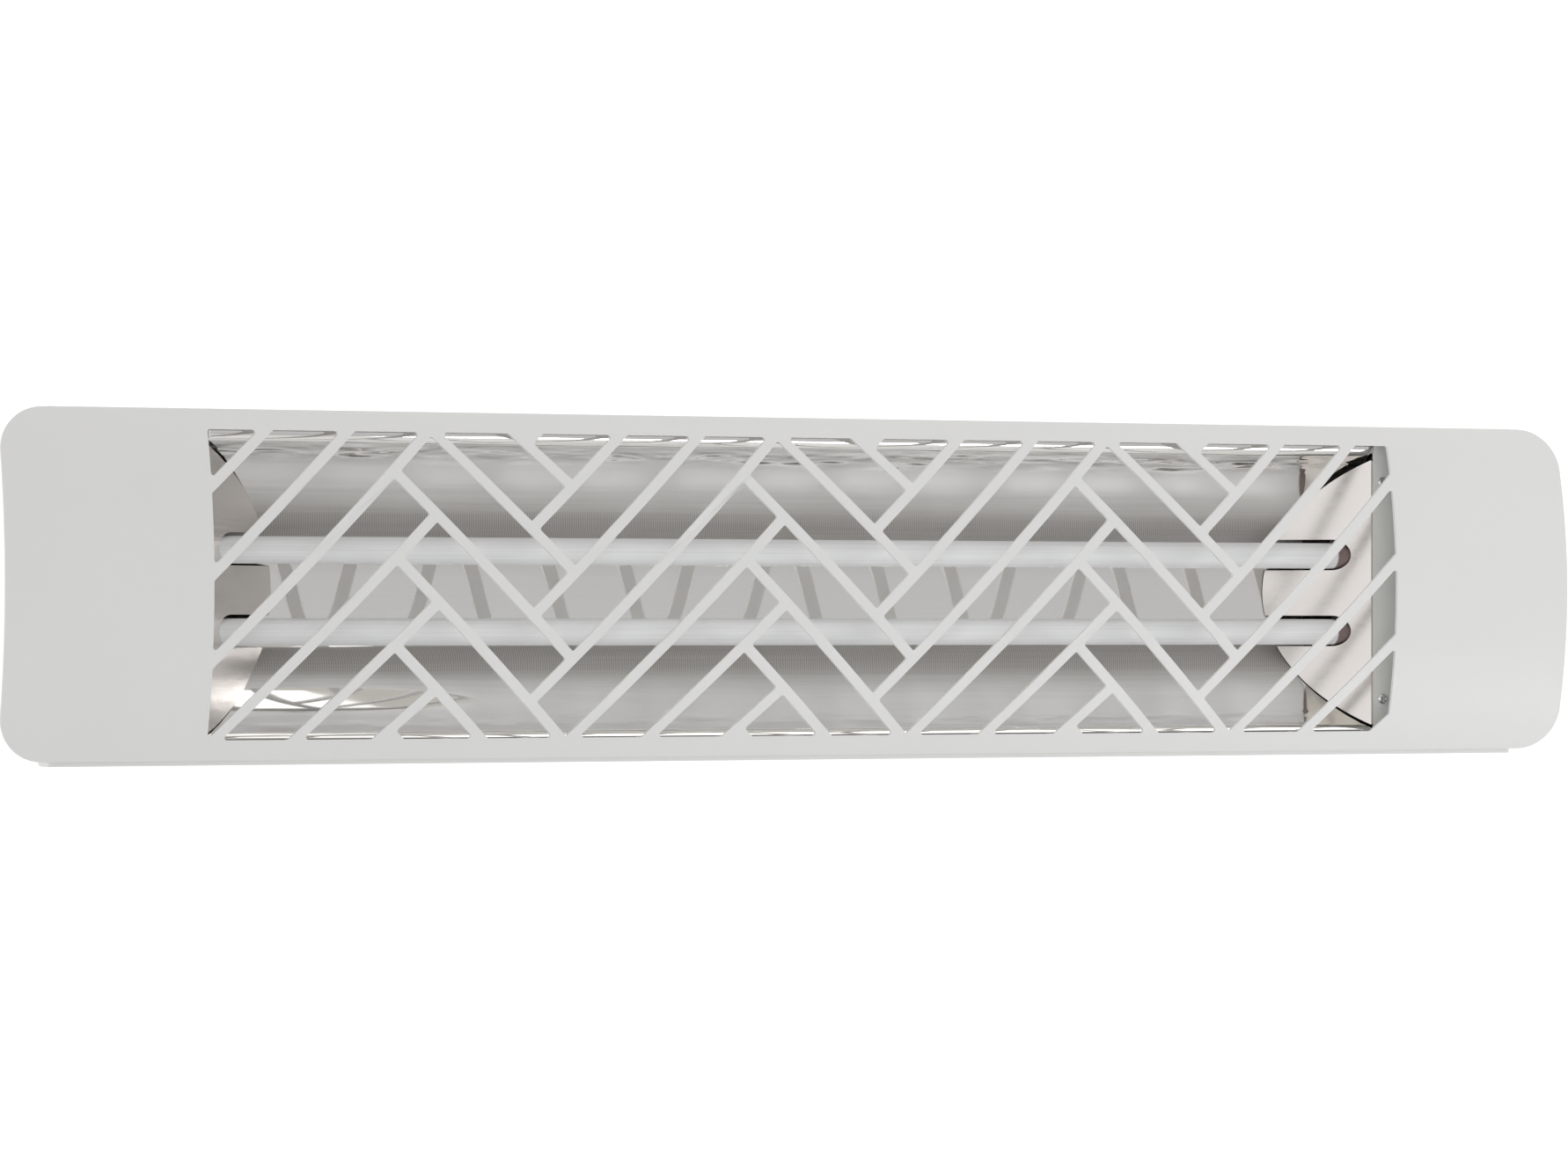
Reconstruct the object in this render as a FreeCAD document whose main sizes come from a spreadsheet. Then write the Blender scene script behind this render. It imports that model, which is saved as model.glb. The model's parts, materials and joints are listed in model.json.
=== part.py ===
import FreeCAD, Part
import math
import os
import Sketcher

# A wall-mounted infrared heat lamp warmer with two quartz lamps behind a bowed, laser-cut faceplate.
# +X runs along the heater, -Y is its front, +Z is up, and the wall is the plane Y = 0.
# The origin is the centre of the four wall screws. "Depth" is measured from the plane through the
# faceplate's long edges towards the wall.

Vector = FreeCAD.Vector

# Stock parts and small clearances, in millimetres.
TOUCH = 0.05                # between pieces that rest on each other
THREAD_PLAY = 0.03          # a nut round its bolt, radial
VENTS_IN_ROW = 5
RIVET_RADIUS = 2
RIVET_LENGTH = 5
RIVET_HEAD = (3.6, 1.4)     # radius, height
END_SCREW_RADIUS = 1.75
END_SCREW_LENGTH = 7
END_SCREW_HEAD = (3.4, 2)
COVER_SCREW_LENGTH = 6
COVER_SCREW_HEAD = (3.1, 1.9)
RECESS = (1.9, 0.9, 1.6)    # arm, width and depth of a cross recess
SCREW_RADIUS = 3
SCREW_PLAY = 0.25
SCREW_HEAD = (5.8, 4)
SCREW_NUT_HEIGHT = 5
SCREW_OFFSETS = (-27, 27)   # bracket screws from the middle of their bracket, along X
WASHER_GAUGE = 1.2
SOCKET_OVERLAP = 14         # of a lamp cap over the quartz tube
TERMINAL_RADIUS = 2         # pin of a lamp cap
TERMINAL_REACH = 9          # pin beyond its cap
BLOCK_SPAN = 32
BLOCK_DEPTH = 16
BLOCK_WIDTH = 22
WELL_RADIUS = 2.6           # wells of the terminal block
WELL_DEPTH = 6
WELL_REACH = 5
WELL_PITCH = 10
EARTH_RADIUS = 2.5
EARTH_HEIGHT = -38
EARTH_NUT = (4.6, 3.6)
LEAD_BEND = 0.45            # share of the shorter run beside a corner that its arc takes
BEYOND = 2                  # cutting tools past the surfaces that they cut
BEND_REACH = math.tan(math.radians(22.5))   # tangent length of a 45-degree bend, to its radius
DIAGONAL = math.sqrt(0.5)
MITRE = 2 - math.sqrt(2)    # how much shorter a 45-degree slope is, per sheet inside it

DIMENSIONS = (
    ("plate_length", 997, "faceplate, end to end"),
    ("plate_height", 197, "faceplate, across its bow"),
    ("plate_bow", 16.2, "how far the middle stands in front of the long edges"),
    ("plate_gauge", 2, "faceplate sheet"),
    ("plate_corner", 26, "corner radius of the faceplate"),
    ("plate_raise", 1.2, "faceplate's middle above the housing's middle"),
    ("plate_seat", 2.5, "faceplate's long edges to the housing's front"),
    ("opening_length", 756.2, "opening filled by the lattice"),
    ("opening_height", 174, "opening, across the bow"),
    ("bar_width", 6, "lattice bar"),
    ("window_corner", 1.5, "corner radius of each window in the lattice"),
    ("lattice_step", 107.73, "run of a falling bar, along X and up the sheet alike"),
    ("lattice_rise", 50, "from a bar to the next parallel one, up the sheet"),
    ("lattice_left", -244.51, "upper end of the first column of rising bars, along X"),
    ("lattice_top", 190.55, "upper end of the first rising bar, up the sheet"),
    ("post_spread", 432, "faceplate posts from the middle, along X"),
    ("post_height", 62, "faceplate posts from the middle, up"),
    ("post_radius", 3, "faceplate post"),
    ("housing_length", 936, "housing with its end caps"),
    ("housing_height", 200, "housing"),
    ("housing_depth", 67.5, "housing, front to rear"),
    ("housing_gauge", 1.5, "housing sheet"),
    ("housing_lip", 10, "turned-in front lip of the housing"),
    ("housing_bend", 1.25, "outer bend radius of the housing's front edges"),
    ("housing_slope", 49, "slopes between the housing's rear and its long sides, across and in depth"),
    ("slope_bend", 5, "outer bend radius along the housing's slopes"),
    ("vent_length", 44, "rear cooling slot"),
    ("vent_width", 4, "rear cooling slot"),
    ("vent_pitch", 60, "rear cooling slots, one to the next"),
    ("vent_height", 40, "rear cooling slots from the middle, up"),
    ("cap_flange", 13, "flange of an end cap inside the housing"),
    ("cap_gauge", 1.2, "flange sheet of an end cap"),
    ("cap_gap", 0.4, "bowed edge of an end cap to the faceplate"),
    ("cap_fit", 0.15, "flange of an end cap clear of the housing"),
    ("cap_screw_height", 40, "rear screws of an end cap from the middle, up"),
    ("trough_radius", 102, "inside of the reflector trough"),
    ("trough_depth", 52, "bottom of the trough"),
    ("trough_half", 81.5, "half the width of the trough, inside its rolled lips"),
    ("trough_length", 750, "reflector"),
    ("mirror_gauge", 0.8, "reflector sheet"),
    ("mirror_roll", 8, "front radius of the reflector's rolled lips"),
    ("mirror_gap", 0.2, "reflector's flanges clear of the housing"),
    ("end_radius", 97.7, "curved edge of a reflector end"),
    ("end_depth", 51.5, "deepest point of a reflector end"),
    ("end_drop", 1.1, "middle of a reflector end below the housing's middle"),
    ("end_reach", 373.9, "front edge of a reflector end, along X"),
    ("end_run", 54, "slope of a reflector end, along X"),
    ("end_fall", 44.5, "slope of a reflector end, in depth"),
    ("end_flange", 20, "flange of a reflector end behind its cover"),
    ("end_bend", 0.3, "front edge of a reflector end behind the face of its cover"),
    ("notch_radius", 9.4, "lamp notch in a reflector end"),
    ("notch_reach", 354.8, "centre of a notch's round end, along X"),
    ("notch_raise", 0.6, "notch above its lamp's axis"),
    ("cover_height", 193, "end cover"),
    ("cover_inner", 375.4, "inner edge of an end cover, along X"),
    ("cover_gauge", 1.2, "end cover sheet"),
    ("cover_gap", 0.4, "end cover to the end of the housing"),
    ("cover_screw_reach", 381.5, "inner cover screws, along X"),
    ("cover_screw_height", 66.3, "cover screws from the middle, up"),
    ("lamp_radius", 7.8, "quartz tube, outside"),
    ("lamp_wall", 1.2, "quartz tube wall"),
    ("lamp_length", 780, "quartz tube"),
    ("lamp_spread", 23.3, "each lamp from the middle of the pair"),
    ("lamp_drop", 2, "middle of the lamps below the housing's middle"),
    ("lamp_depth", 26, "lamp axis"),
    ("coil_radius", 2.6, "heating coil, outside"),
    ("coil_wall", 0.6, "heating coil wire"),
    ("socket_radius", 9.6, "ceramic lamp cap"),
    ("socket_length", 32, "ceramic lamp cap"),
    ("socket_neck", 9.1, "neck of a lamp cap where its holder grips it"),
    ("holder_reach", 404, "lamp holder sheet, along X"),
    ("holder_gauge", 1.5, "lamp holder sheet"),
    ("holder_height", 96, "lamp holder"),
    ("holder_cheek", 13, "lamp holder in front of the lamps' axis"),
    ("clip_width", 6, "spring clip, along its lamp"),
    ("clip_mouth", 14, "opening of a spring clip"),
    ("lead_radius", 1.6, "insulated lead"),
    ("return_gap", 12, "leads from the right-hand end, from the housing's rear"),
    ("return_height", 56, "leads from the right-hand end, from the middle, up"),
    ("foot_width", 16, "foot of a lamp holder or reflector support"),
    ("support_reach", 190, "reflector supports from the middle, along X"),
    ("support_height", 96, "reflector support"),
    ("support_depth", 30, "front edge of a reflector support"),
    ("support_gauge", 1.2, "reflector support sheet"),
    ("terminal_reach", 440, "terminal block, along X"),
    ("terminal_height", 33, "terminal block's middle, up"),
    ("gland_reach", 436, "cable gland, along X"),
    ("gland_bore", 4.25, "radius of the cable's way through the gland"),
    ("gland_thread", 7.9, "threaded barrel of the gland"),
    ("bracket_reach", 240, "each mounting bracket from the middle, along X"),
    ("wall_gap", 95, "wall to the housing's rear"),
    ("pivot_gap", 65, "wall to the tilt axis"),
    ("tilt_range", 45, "tilt, in degrees"),
    ("tilt_spare", 1.5, "slot beyond the tilt range at each end, in degrees"),
    ("slot_radius", 32, "clamp bolts from the tilt axis"),
    ("slot_half", 3.5, "half the width of the clamp slot"),
    ("bracket_gauge", 3, "bracket sheet"),
    ("bracket_width", 40, "wall bracket across its ears"),
    ("bracket_play", 0.5, "between the ears of the two brackets"),
    ("ear_nose", 15, "ear of a wall bracket beyond the tilt axis"),
    ("ear_height", 40, "ear of a wall bracket from the middle, up"),
    ("foot_height", 60, "heater bracket"),
    ("foot_flange", 20.5, "foot of a heater bracket beside its ears"),
    ("screw_spacing", 80, "wall screws, one above the other"),
    ("screw_hole", 3.5, "radius of a wall screw hole"),
    ("pivot_radius", 4, "pivot bolt"),
    ("pivot_play", 0.08, "pivot bolt in its holes, radial"),
    ("clamp_radius", 3, "clamp bolt"),
    ("clamp_play", 0.3, "clamp washers clear of the wall bracket"),
)

doc = FreeCAD.newDocument("HeatLampWarmer")
sheet = doc.addObject("Spreadsheet::Sheet", "Dims")
for row, (alias, value, note) in enumerate(DIMENSIONS, start=1):
    sheet.set(f"A{row}", alias)
    sheet.set(f"B{row}", str(value))
    sheet.setAlias(f"B{row}", alias)
    sheet.set(f"C{row}", note)
doc.recompute()

nodes = []


class Size:
    """A length or ratio: its value, and the formula that gives it from the sheet."""

    def __init__(self, value, text):
        self.value = float(value)
        self.text = text

    def __add__(self, other):
        other = as_size(other)
        return Size(self.value + other.value, f"({self.text} + {other.text})")

    def __sub__(self, other):
        other = as_size(other)
        return Size(self.value - other.value, f"({self.text} - {other.text})")

    def __mul__(self, other):
        other = as_size(other)
        return Size(self.value * other.value, f"({self.text} * {other.text})")

    def __truediv__(self, other):
        other = as_size(other)
        return Size(self.value / other.value, f"({self.text} / {other.text})")

    def __radd__(self, other):
        return as_size(other) + self

    def __rsub__(self, other):
        return as_size(other) - self

    def __rmul__(self, other):
        return as_size(other) * self

    def __neg__(self):
        return Size(-self.value, f"(0 - {self.text})")


def as_size(number):
    return number if isinstance(number, Size) else Size(number, f"({float(number)})")


def root(size):
    return Size(math.sqrt(size.value), f"sqrt({size.text})")


def cosine(degrees):
    return Size(math.cos(math.radians(degrees.value)), f"cos({degrees.text} * 1 deg)")


def sine(degrees):
    return Size(math.sin(math.radians(degrees.value)), f"sin({degrees.text} * 1 deg)")


def chord_height(radius, half_chord):
    """Distance from a circle's centre to a chord of it."""
    return root(radius * radius - half_chord * half_chord)


def dim(alias):
    return Size(sheet.get(alias), f"Dims.{alias}")


def lower(a, b):
    return a if a.value < b.value else b


def bind(target, path, size):
    target.setExpression(path, as_size(size).text)


def put(piece, x, y, z):
    for letter, size in zip("xyz", (x, y, z)):
        bind(piece, f"Placement.Base.{letter}", size)


def node(piece, label):
    """Marks a piece as a finished sub-part, under the name that its file takes."""
    piece.Label = label
    nodes.append(piece)
    return piece


# ---- primitives and booleans -------------------------------------------------------------------

ALONG = {
    "X": FreeCAD.Rotation(Vector(0, 1, 0), 90),
    "Y": FreeCAD.Rotation(Vector(1, 0, 0), -90),
    "Z": FreeCAD.Rotation(),
}


def box(name, low, extent):
    piece = doc.addObject("Part::Box", name)
    for prop, size in zip(("Length", "Width", "Height"), extent):
        bind(piece, prop, size)
    put(piece, *low)
    return piece


def cylinder(name, radius, length, start, axis):
    piece = doc.addObject("Part::Cylinder", name)
    bind(piece, "Radius", radius)
    bind(piece, "Height", length)
    piece.Placement = FreeCAD.Placement(Vector(), ALONG[axis])
    put(piece, *start)
    return piece


def hexagon(name, corner_radius, length, start, axis):
    piece = doc.addObject("Part::Prism", name)
    piece.Polygon = 6
    bind(piece, "Circumradius", corner_radius)
    bind(piece, "Height", length)
    piece.Placement = FreeCAD.Placement(Vector(), ALONG[axis])
    put(piece, *start)
    return piece


def fuse(name, pieces):
    piece = doc.addObject("Part::MultiFuse", name)
    piece.Shapes = pieces
    return piece


def common(name, pieces):
    piece = doc.addObject("Part::MultiCommon", name)
    piece.Shapes = pieces
    return piece


def cut(name, base, tools):
    piece = doc.addObject("Part::Cut", name)
    piece.Base = base
    piece.Tool = tools[0] if len(tools) == 1 else fuse(name + "_tools", tools)
    return piece


def group(name, pieces):
    piece = doc.addObject("Part::Compound", name)
    piece.Links = pieces
    return piece


# ---- sketched features -------------------------------------------------------------------------

def new_body(name):
    return doc.addObject("PartDesign::Body", name)


def new_sketch(body, role, name, offset):
    sketch = body.newObject("Sketcher::SketchObject", name)
    plane = next(feature for feature in body.Origin.OriginFeatures if feature.Role == role)
    sketch.AttachmentSupport = (plane, [""])
    sketch.MapMode = "FlatFace"
    bind(sketch, "AttachmentOffset.Base.z", offset)
    return sketch


def constrain(sketch, name, size, *arguments):
    index = sketch.addConstraint(Sketcher.Constraint(*arguments, size.value))
    sketch.renameConstraint(index, name)
    bind(sketch, f"Constraints.{name}", size)


def hold(sketch, geometry, point, x, y, name):
    constrain(sketch, name + "_across", as_size(x), "DistanceX", -1, 1, geometry, point)
    constrain(sketch, name + "_up", as_size(y), "DistanceY", -1, 1, geometry, point)


def flat(x, y):
    return Vector(as_size(x).value, as_size(y).value, 0)


def bent_edge(start, end, radius):
    """An arc between two points that turns left for a positive radius, and its end points' order."""
    if radius < 0:
        start, end = end, start
    chord = end - start
    left = Vector(-chord.y, chord.x, 0).normalize()
    reach = math.sqrt(max(radius ** 2 - (chord.Length / 2) ** 2, 0))
    centre = (start + end) * 0.5 + left * reach
    middle = centre - left * abs(radius)
    return Part.Arc(start, middle, end), ((1, 2) if radius > 0 else (2, 1))


def draw(sketch, corners):
    """A closed outline. A corner is (x, y), or (x, y, radius) where an arc leaves it."""
    order = []
    for number, corner in enumerate(corners):
        following = corners[(number + 1) % len(corners)]
        start = flat(*corner[:2])
        end = flat(*following[:2])
        if len(corner) == 3:
            edge, ends = bent_edge(start, end, corner[2].value)
        else:
            edge, ends = Part.LineSegment(start, end), (1, 2)
        sketch.addGeometry(edge, False)
        order.append(ends)
    for number, corner in enumerate(corners):
        following = (number + 1) % len(corners)
        sketch.addConstraint(
            Sketcher.Constraint("Coincident", number, order[number][1], following, order[following][0]))
        hold(sketch, number, order[number][0], corner[0], corner[1], f"corner{number}")
        if len(corner) == 3:
            radius = corner[2] if corner[2].value > 0 else -corner[2]
            constrain(sketch, f"bend{number}", radius, "Radius", number)


def draw_circles(sketch, circles):
    for number, (x, y, radius) in enumerate(circles):
        radius = as_size(radius)
        sketch.addGeometry(Part.Circle(flat(x, y), Vector(0, 0, 1), radius.value), False)
        hold(sketch, number, 3, x, y, f"hole{number}")
        constrain(sketch, f"hole{number}_radius", radius, "Radius", number)


def pad(body, role, name, corners, low, length, draw_with=draw):
    """Adds the outline's prism from low, along the plane's row axis."""
    offset = -(low + length) if role == "XZ_Plane" else low
    sketch = new_sketch(body, role, name + "_sketch", offset)
    draw_with(sketch, corners)
    feature = body.newObject("PartDesign::Pad", name)
    feature.Profile = sketch
    bind(feature, "Length", length)
    return feature


def pocket(body, role, name, corners, low, length, draw_with=draw):
    """Takes the outline's prism away from low, along the plane's row axis."""
    offset = -as_size(low) if role == "XZ_Plane" else low + length
    sketch = new_sketch(body, role, name + "_sketch", offset)
    draw_with(sketch, corners)
    feature = body.newObject("PartDesign::Pocket", name)
    feature.Profile = sketch
    bind(feature, "Length", length)
    return feature


def round_edges(body, name, radius, wanted):
    """Fillets the edges of the body's last feature that the test picks."""
    doc.recompute()
    tip = body.Tip
    edges = [f"Edge{number}" for number, edge in enumerate(tip.Shape.Edges, start=1) if wanted(edge)]
    fillet = body.newObject("PartDesign::Fillet", name)
    fillet.Base = (tip, edges)
    bind(fillet, "Radius", radius)
    return fillet


def turned(name, profile, start, axis):
    """A round piece: its profile is (distance along the axis, radius) from start."""
    body = new_body(name)
    sketch = new_sketch(body, "XY_Plane", name + "_sketch", as_size(0))
    draw(sketch, profile)
    feature = body.newObject("PartDesign::Revolution", name + "_turn")
    feature.Profile = sketch
    feature.ReferenceAxis = (sketch, ["H_Axis"])
    feature.Angle = 360
    turn = {"X": FreeCAD.Rotation(), "Y": FreeCAD.Rotation(Vector(0, 0, 1), 90),
            "Z": FreeCAD.Rotation(Vector(0, 1, 0), -90)}
    body.Placement = FreeCAD.Placement(Vector(), turn[axis])
    put(body, *start)
    return body


def rectangle(low_x, low_y, high_x, high_y):
    return [(low_x, low_y), (high_x, low_y), (high_x, high_y), (low_x, high_y)]


def sloped_rear(front, inset):
    """An open outline in Y and Z, inside the housing's by the inset, from its lower front end to its
    upper one. Two 45-degree slopes lead to the rear, and every bend between is rounded."""
    rear = rear_y - inset
    half = half_height - inset
    slope = dim("housing_slope") - inset * MITRE
    bend = dim("slope_bend") - inset
    along = bend * BEND_REACH
    aside = along * DIAGONAL
    lower_half = [(rear - slope - along, -half, bend), (rear - slope + aside, aside - half),
                  (rear - aside, slope - half - aside, bend), (rear, slope - half + along)]
    upper_half = [(rear, half - slope - along, bend), (rear - aside, half - slope + aside),
                  (rear - slope + aside, half - aside, bend), (rear - slope - along, half)]
    return [(front, -half)] + lower_half + upper_half + [(front, half)]


def backwards(outline):
    """The same open outline from its other end, with each arc written where it now leaves."""
    turned_round = []
    for number in range(len(outline) - 1, -1, -1):
        corner = outline[number][:2]
        arc = outline[number - 1][2:] if number else ()
        turned_round.append(corner + tuple(-radius for radius in arc))
    return turned_round


def runs_along(axis):
    """A test for straight edges that run along a row axis."""
    def wanted(edge):
        if edge.Curve.TypeId != "Part::GeomLine":
            return False
        return abs(edge.tangentAt(edge.FirstParameter).dot(axis)) > 0.999
    return wanted


# ---- places that several pieces share ----------------------------------------------------------

SIDES = (("left", -1), ("right", 1))
LEVELS = (("upper", 1), ("lower", -1))

face_y = -(dim("wall_gap") + dim("housing_depth") + dim("plate_seat"))
front_y = face_y + dim("plate_seat")
rear_y = -dim("wall_gap")
rear_inner_y = rear_y - dim("housing_gauge")
half_height = dim("housing_height") / 2
inner_half = half_height - dim("housing_gauge")
shell_half = dim("housing_length") / 2 - dim("housing_gauge")
plate_half = dim("plate_height") / 2
bow_radius = (plate_half * plate_half + dim("plate_bow") * dim("plate_bow")) / (2 * dim("plate_bow"))
bow_centre_y = face_y - dim("plate_bow") + bow_radius
plate_inner_radius = bow_radius - dim("plate_gauge")
trough_centre_y = face_y + dim("trough_depth") - dim("trough_radius")
trough_reach = chord_height(dim("trough_radius"), dim("trough_half"))
roll_share = 1 + dim("mirror_roll") / dim("trough_radius")
flange_y = trough_centre_y + trough_reach * roll_share - dim("mirror_roll")
lip_z = dim("trough_half") * roll_share
cover_back_y = flange_y + dim("cover_gauge")
lamp_y = face_y + dim("lamp_depth")
pivot_y = -dim("pivot_gap")
return_y = rear_inner_y - dim("return_gap")
chassis_y = rear_inner_y - TOUCH
seat_y = rear_y + TOUCH


def lamp_z(level):
    return level * dim("lamp_spread") - dim("lamp_drop")


def return_z(level):
    return level * dim("return_height")


def plate_back_y(height):
    """The faceplate's rear surface, at a height from the faceplate's middle."""
    return bow_centre_y - chord_height(plate_inner_radius, as_size(height))


# ---- faceplate ---------------------------------------------------------------------------------

def lattice_windows():
    """The windows between the bars, as prisms along Y.

    The pattern is laid out on the flat sheet and then rolled, so a height up the sheet becomes a
    height across the bow.
    """
    radius = bow_radius.value
    raise_z = dim("plate_raise").value
    half_bar = dim("bar_width").value / 2
    step = dim("lattice_step").value
    rise = dim("lattice_rise").value
    left = dim("lattice_left").value
    top = dim("lattice_top").value
    corner = dim("window_corner").value
    front = face_y.value - dim("plate_bow").value - 1
    depth = dim("plate_bow").value + dim("plate_seat").value + 1

    def rolled(x, up):
        return Vector(x, front, raise_z + radius * math.sin(up / radius))

    def bar(x, up, run, slope):
        """A bar from its upper end (x, up), down by run; slope 1 rises to the right."""
        shift = half_bar / math.sqrt(2)
        end_x = x - slope * run
        end_up = up - run
        outline = [rolled(x + slope * shift, up - shift), rolled(x - slope * shift, up + shift),
                   rolled(end_x - slope * shift, end_up + shift),
                   rolled(end_x + slope * shift, end_up - shift)]
        return Part.Face(Part.makePolygon(outline + outline[:1]))

    rows = range(-1, 6)
    rising = [bar(left + 2 * step * column, top - rise * line, step + rise, 1)
              for column in range(4) for line in rows]
    falling = [bar(left - rise / 2 + 2 * step * column, top - 1.5 * rise - rise * line, step, -1)
               for column in range(3) for line in rows]
    half_x = dim("opening_length").value / 2
    half_z = dim("opening_height").value / 2
    opening = Part.Face(Part.makePolygon([
        Vector(x, front, raise_z + z)
        for x, z in ((-half_x, -half_z), (half_x, -half_z), (half_x, half_z),
                     (-half_x, half_z), (-half_x, -half_z))]))
    prisms = []
    smallest_window = 12 * corner ** 2
    for window in opening.cut(rising + falling).Faces:
        if window.Area < smallest_window:
            continue
        rounded = window.makeOffset2D(-corner).makeOffset2D(corner)
        prisms += [face.extrude(Vector(0, depth, 0)) for face in rounded.Faces]
    return prisms


def faceplate():
    body = new_body("faceplate_blank")
    scale = plate_inner_radius / bow_radius
    inner_edge_y = bow_centre_y - (bow_centre_y - face_y) * scale
    raise_z = dim("plate_raise")
    section = [
        (face_y, raise_z - plate_half, -bow_radius),
        (face_y, raise_z + plate_half),
        (inner_edge_y, raise_z + plate_half * scale, plate_inner_radius),
        (inner_edge_y, raise_z - plate_half * scale),
    ]
    length = dim("plate_length")
    pad(body, "YZ_Plane", "faceplate_sheet", section, -length / 2, length)
    short = 2 * dim("plate_gauge").value
    round_edges(body, "faceplate_corners", dim("plate_corner"),
                lambda edge: edge.Curve.TypeId == "Part::GeomLine" and edge.Length < short)
    windows = doc.addObject("Part::Feature", "lattice_windows")
    windows.Shape = Part.makeCompound(lattice_windows())
    node(cut("faceplate_cut", body, [windows]), "faceplate")


def faceplate_fixings():
    """Posts welded to the faceplate's rear, and the ferrules in the end covers that they snap into."""
    posts = []
    ferrules = []
    radius = dim("post_radius")
    back = plate_back_y(dim("post_height"))
    weld = 0.3
    length = cover_back_y + 6 - (back - weld)
    base = 1.6
    groove_depth = 0.6
    groove_width = 1.2
    groove = length - 3
    neck = radius - groove_depth
    post_profile = [(0, 0), (0, 2 * radius), (base, 2 * radius), (base, radius), (groove, radius),
                    (groove, neck), (groove + groove_width, neck), (groove + groove_width, radius),
                    (length - groove_depth, radius), (length, neck), (length, 0)]
    bore = radius + 2 * TOUCH
    rim = 1
    sleeve_length = 3.6
    sleeve_profile = [(0, bore), (0, radius + 4), (rim, radius + 4), (rim, radius + 1.3),
                      (sleeve_length, radius + 1.1), (sleeve_length, bore)]
    for side_name, side in SIDES:
        for level_name, level in LEVELS:
            tag = f"{side_name}_{level_name}"
            x = side * dim("post_spread")
            z = dim("plate_raise") + level * dim("post_height")
            posts.append(turned(f"post_{tag}", post_profile, (x, back - weld, z), "Y"))
            ferrules.append(turned(f"ferrule_{tag}", sleeve_profile, (x, flange_y - rim, z), "Y"))
    node(group("faceplate_post_set", posts), "faceplate_posts")
    node(group("faceplate_ferrule_set", ferrules), "faceplate_ferrules")


# ---- housing -----------------------------------------------------------------------------------

def housing_shell():
    """The folded channel of the housing, with its front lips, rear cooling slots and rear holes."""
    body = new_body("shell_body")
    gauge = dim("housing_gauge")
    mouth = half_height - dim("housing_lip")
    outside = sloped_rear(front_y, as_size(0))
    inside = sloped_rear(front_y + gauge, gauge)
    section = outside + [(front_y, mouth), (front_y + gauge, mouth)] + backwards(inside)
    section += [(front_y + gauge, -mouth), (front_y, -mouth)]
    pad(body, "YZ_Plane", "shell_fold", section, -shell_half, 2 * shell_half)

    def outer_bend(edge):
        point = edge.CenterOfMass
        return (edge.Length > shell_half.value
                and abs(abs(point.z) - half_height.value) < 0.01
                and abs(point.y - front_y.value) < 0.01)

    round_edges(body, "shell_bends", dim("housing_bend"), outer_bend)
    first = -dim("vent_pitch") * (VENTS_IN_ROW - 1) / 2 - dim("vent_length") / 2
    vent_tools = []
    for level_name, level in LEVELS:
        z = level * dim("vent_height")
        for number in range(VENTS_IN_ROW):
            x = first + number * dim("vent_pitch")
            vent_tools.append(slot_tool(f"vent_{level_name}_{number}", x, z))
    node(cut("shell_cut", body, vent_tools + rear_holes()), "housing_shell")


def slot_tool(name, x, z):
    """A slot with round ends through the housing's rear."""
    half = dim("vent_width") / 2
    length = dim("vent_length")
    through = dim("housing_gauge") + 2 * BEYOND
    start_y = rear_inner_y - BEYOND
    middle = box(name + "_middle", (x + half, start_y, z - half), (length - 2 * half, through, 2 * half))
    ends = [cylinder(f"{name}_end{number}", half, through, (end_x, start_y, z), "Y")
            for number, end_x in enumerate((x + half, x + length - half))]
    return fuse(name, [middle] + ends)


def holder_rivet(side, level):
    """The rivet in the foot of a lamp holder, as (X, Z)."""
    return side * (dim("holder_reach") - dim("foot_width") / 2), level * (dim("holder_height") / 2 - 12)


def support_rivet(side, level):
    """The rivet in the foot of a reflector support, as (X, Z)."""
    return side * (dim("support_reach") + dim("foot_width") / 2), level * (dim("support_height") / 2 - 12)


def rivet_places():
    """Rivets through the housing's rear into the feet of the inner sheets, as (X, Z)."""
    return [place(side, level) for _, side in SIDES for _, level in LEVELS
            for place in (holder_rivet, support_rivet)]


def bracket_screw_places():
    """Screws through the housing's rear into the heater brackets, as (X, Z)."""
    return [(side * dim("bracket_reach") + offset, 0) for _, side in SIDES for offset in SCREW_OFFSETS]


def end_screw_places():
    """Screws through the housing's rear into the end caps, as (X, Z)."""
    inset = shell_half - dim("cap_flange") / 2
    return [(side * inset, level * dim("cap_screw_height")) for _, side in SIDES for _, level in LEVELS]


def rear_holes():
    """Round holes through the housing's rear, as cutting cylinders."""
    start_y = rear_inner_y - BEYOND
    through = dim("housing_gauge") + 2 * BEYOND
    rings = [(RIVET_RADIUS, rivet_places()), (SCREW_RADIUS + SCREW_PLAY, bracket_screw_places()),
             (END_SCREW_RADIUS, end_screw_places()),
             (dim("gland_thread") + 2 * TOUCH, [(-dim("gland_reach"), 0)]),
             (EARTH_RADIUS, [(-dim("terminal_reach"), EARTH_HEIGHT)])]
    tools = []
    for radius, places in rings:
        for x, z in places:
            tools.append(cylinder(f"rear_hole_{len(tools)}", radius, through, (x, start_y, as_size(z)), "Y"))
    return tools


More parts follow.
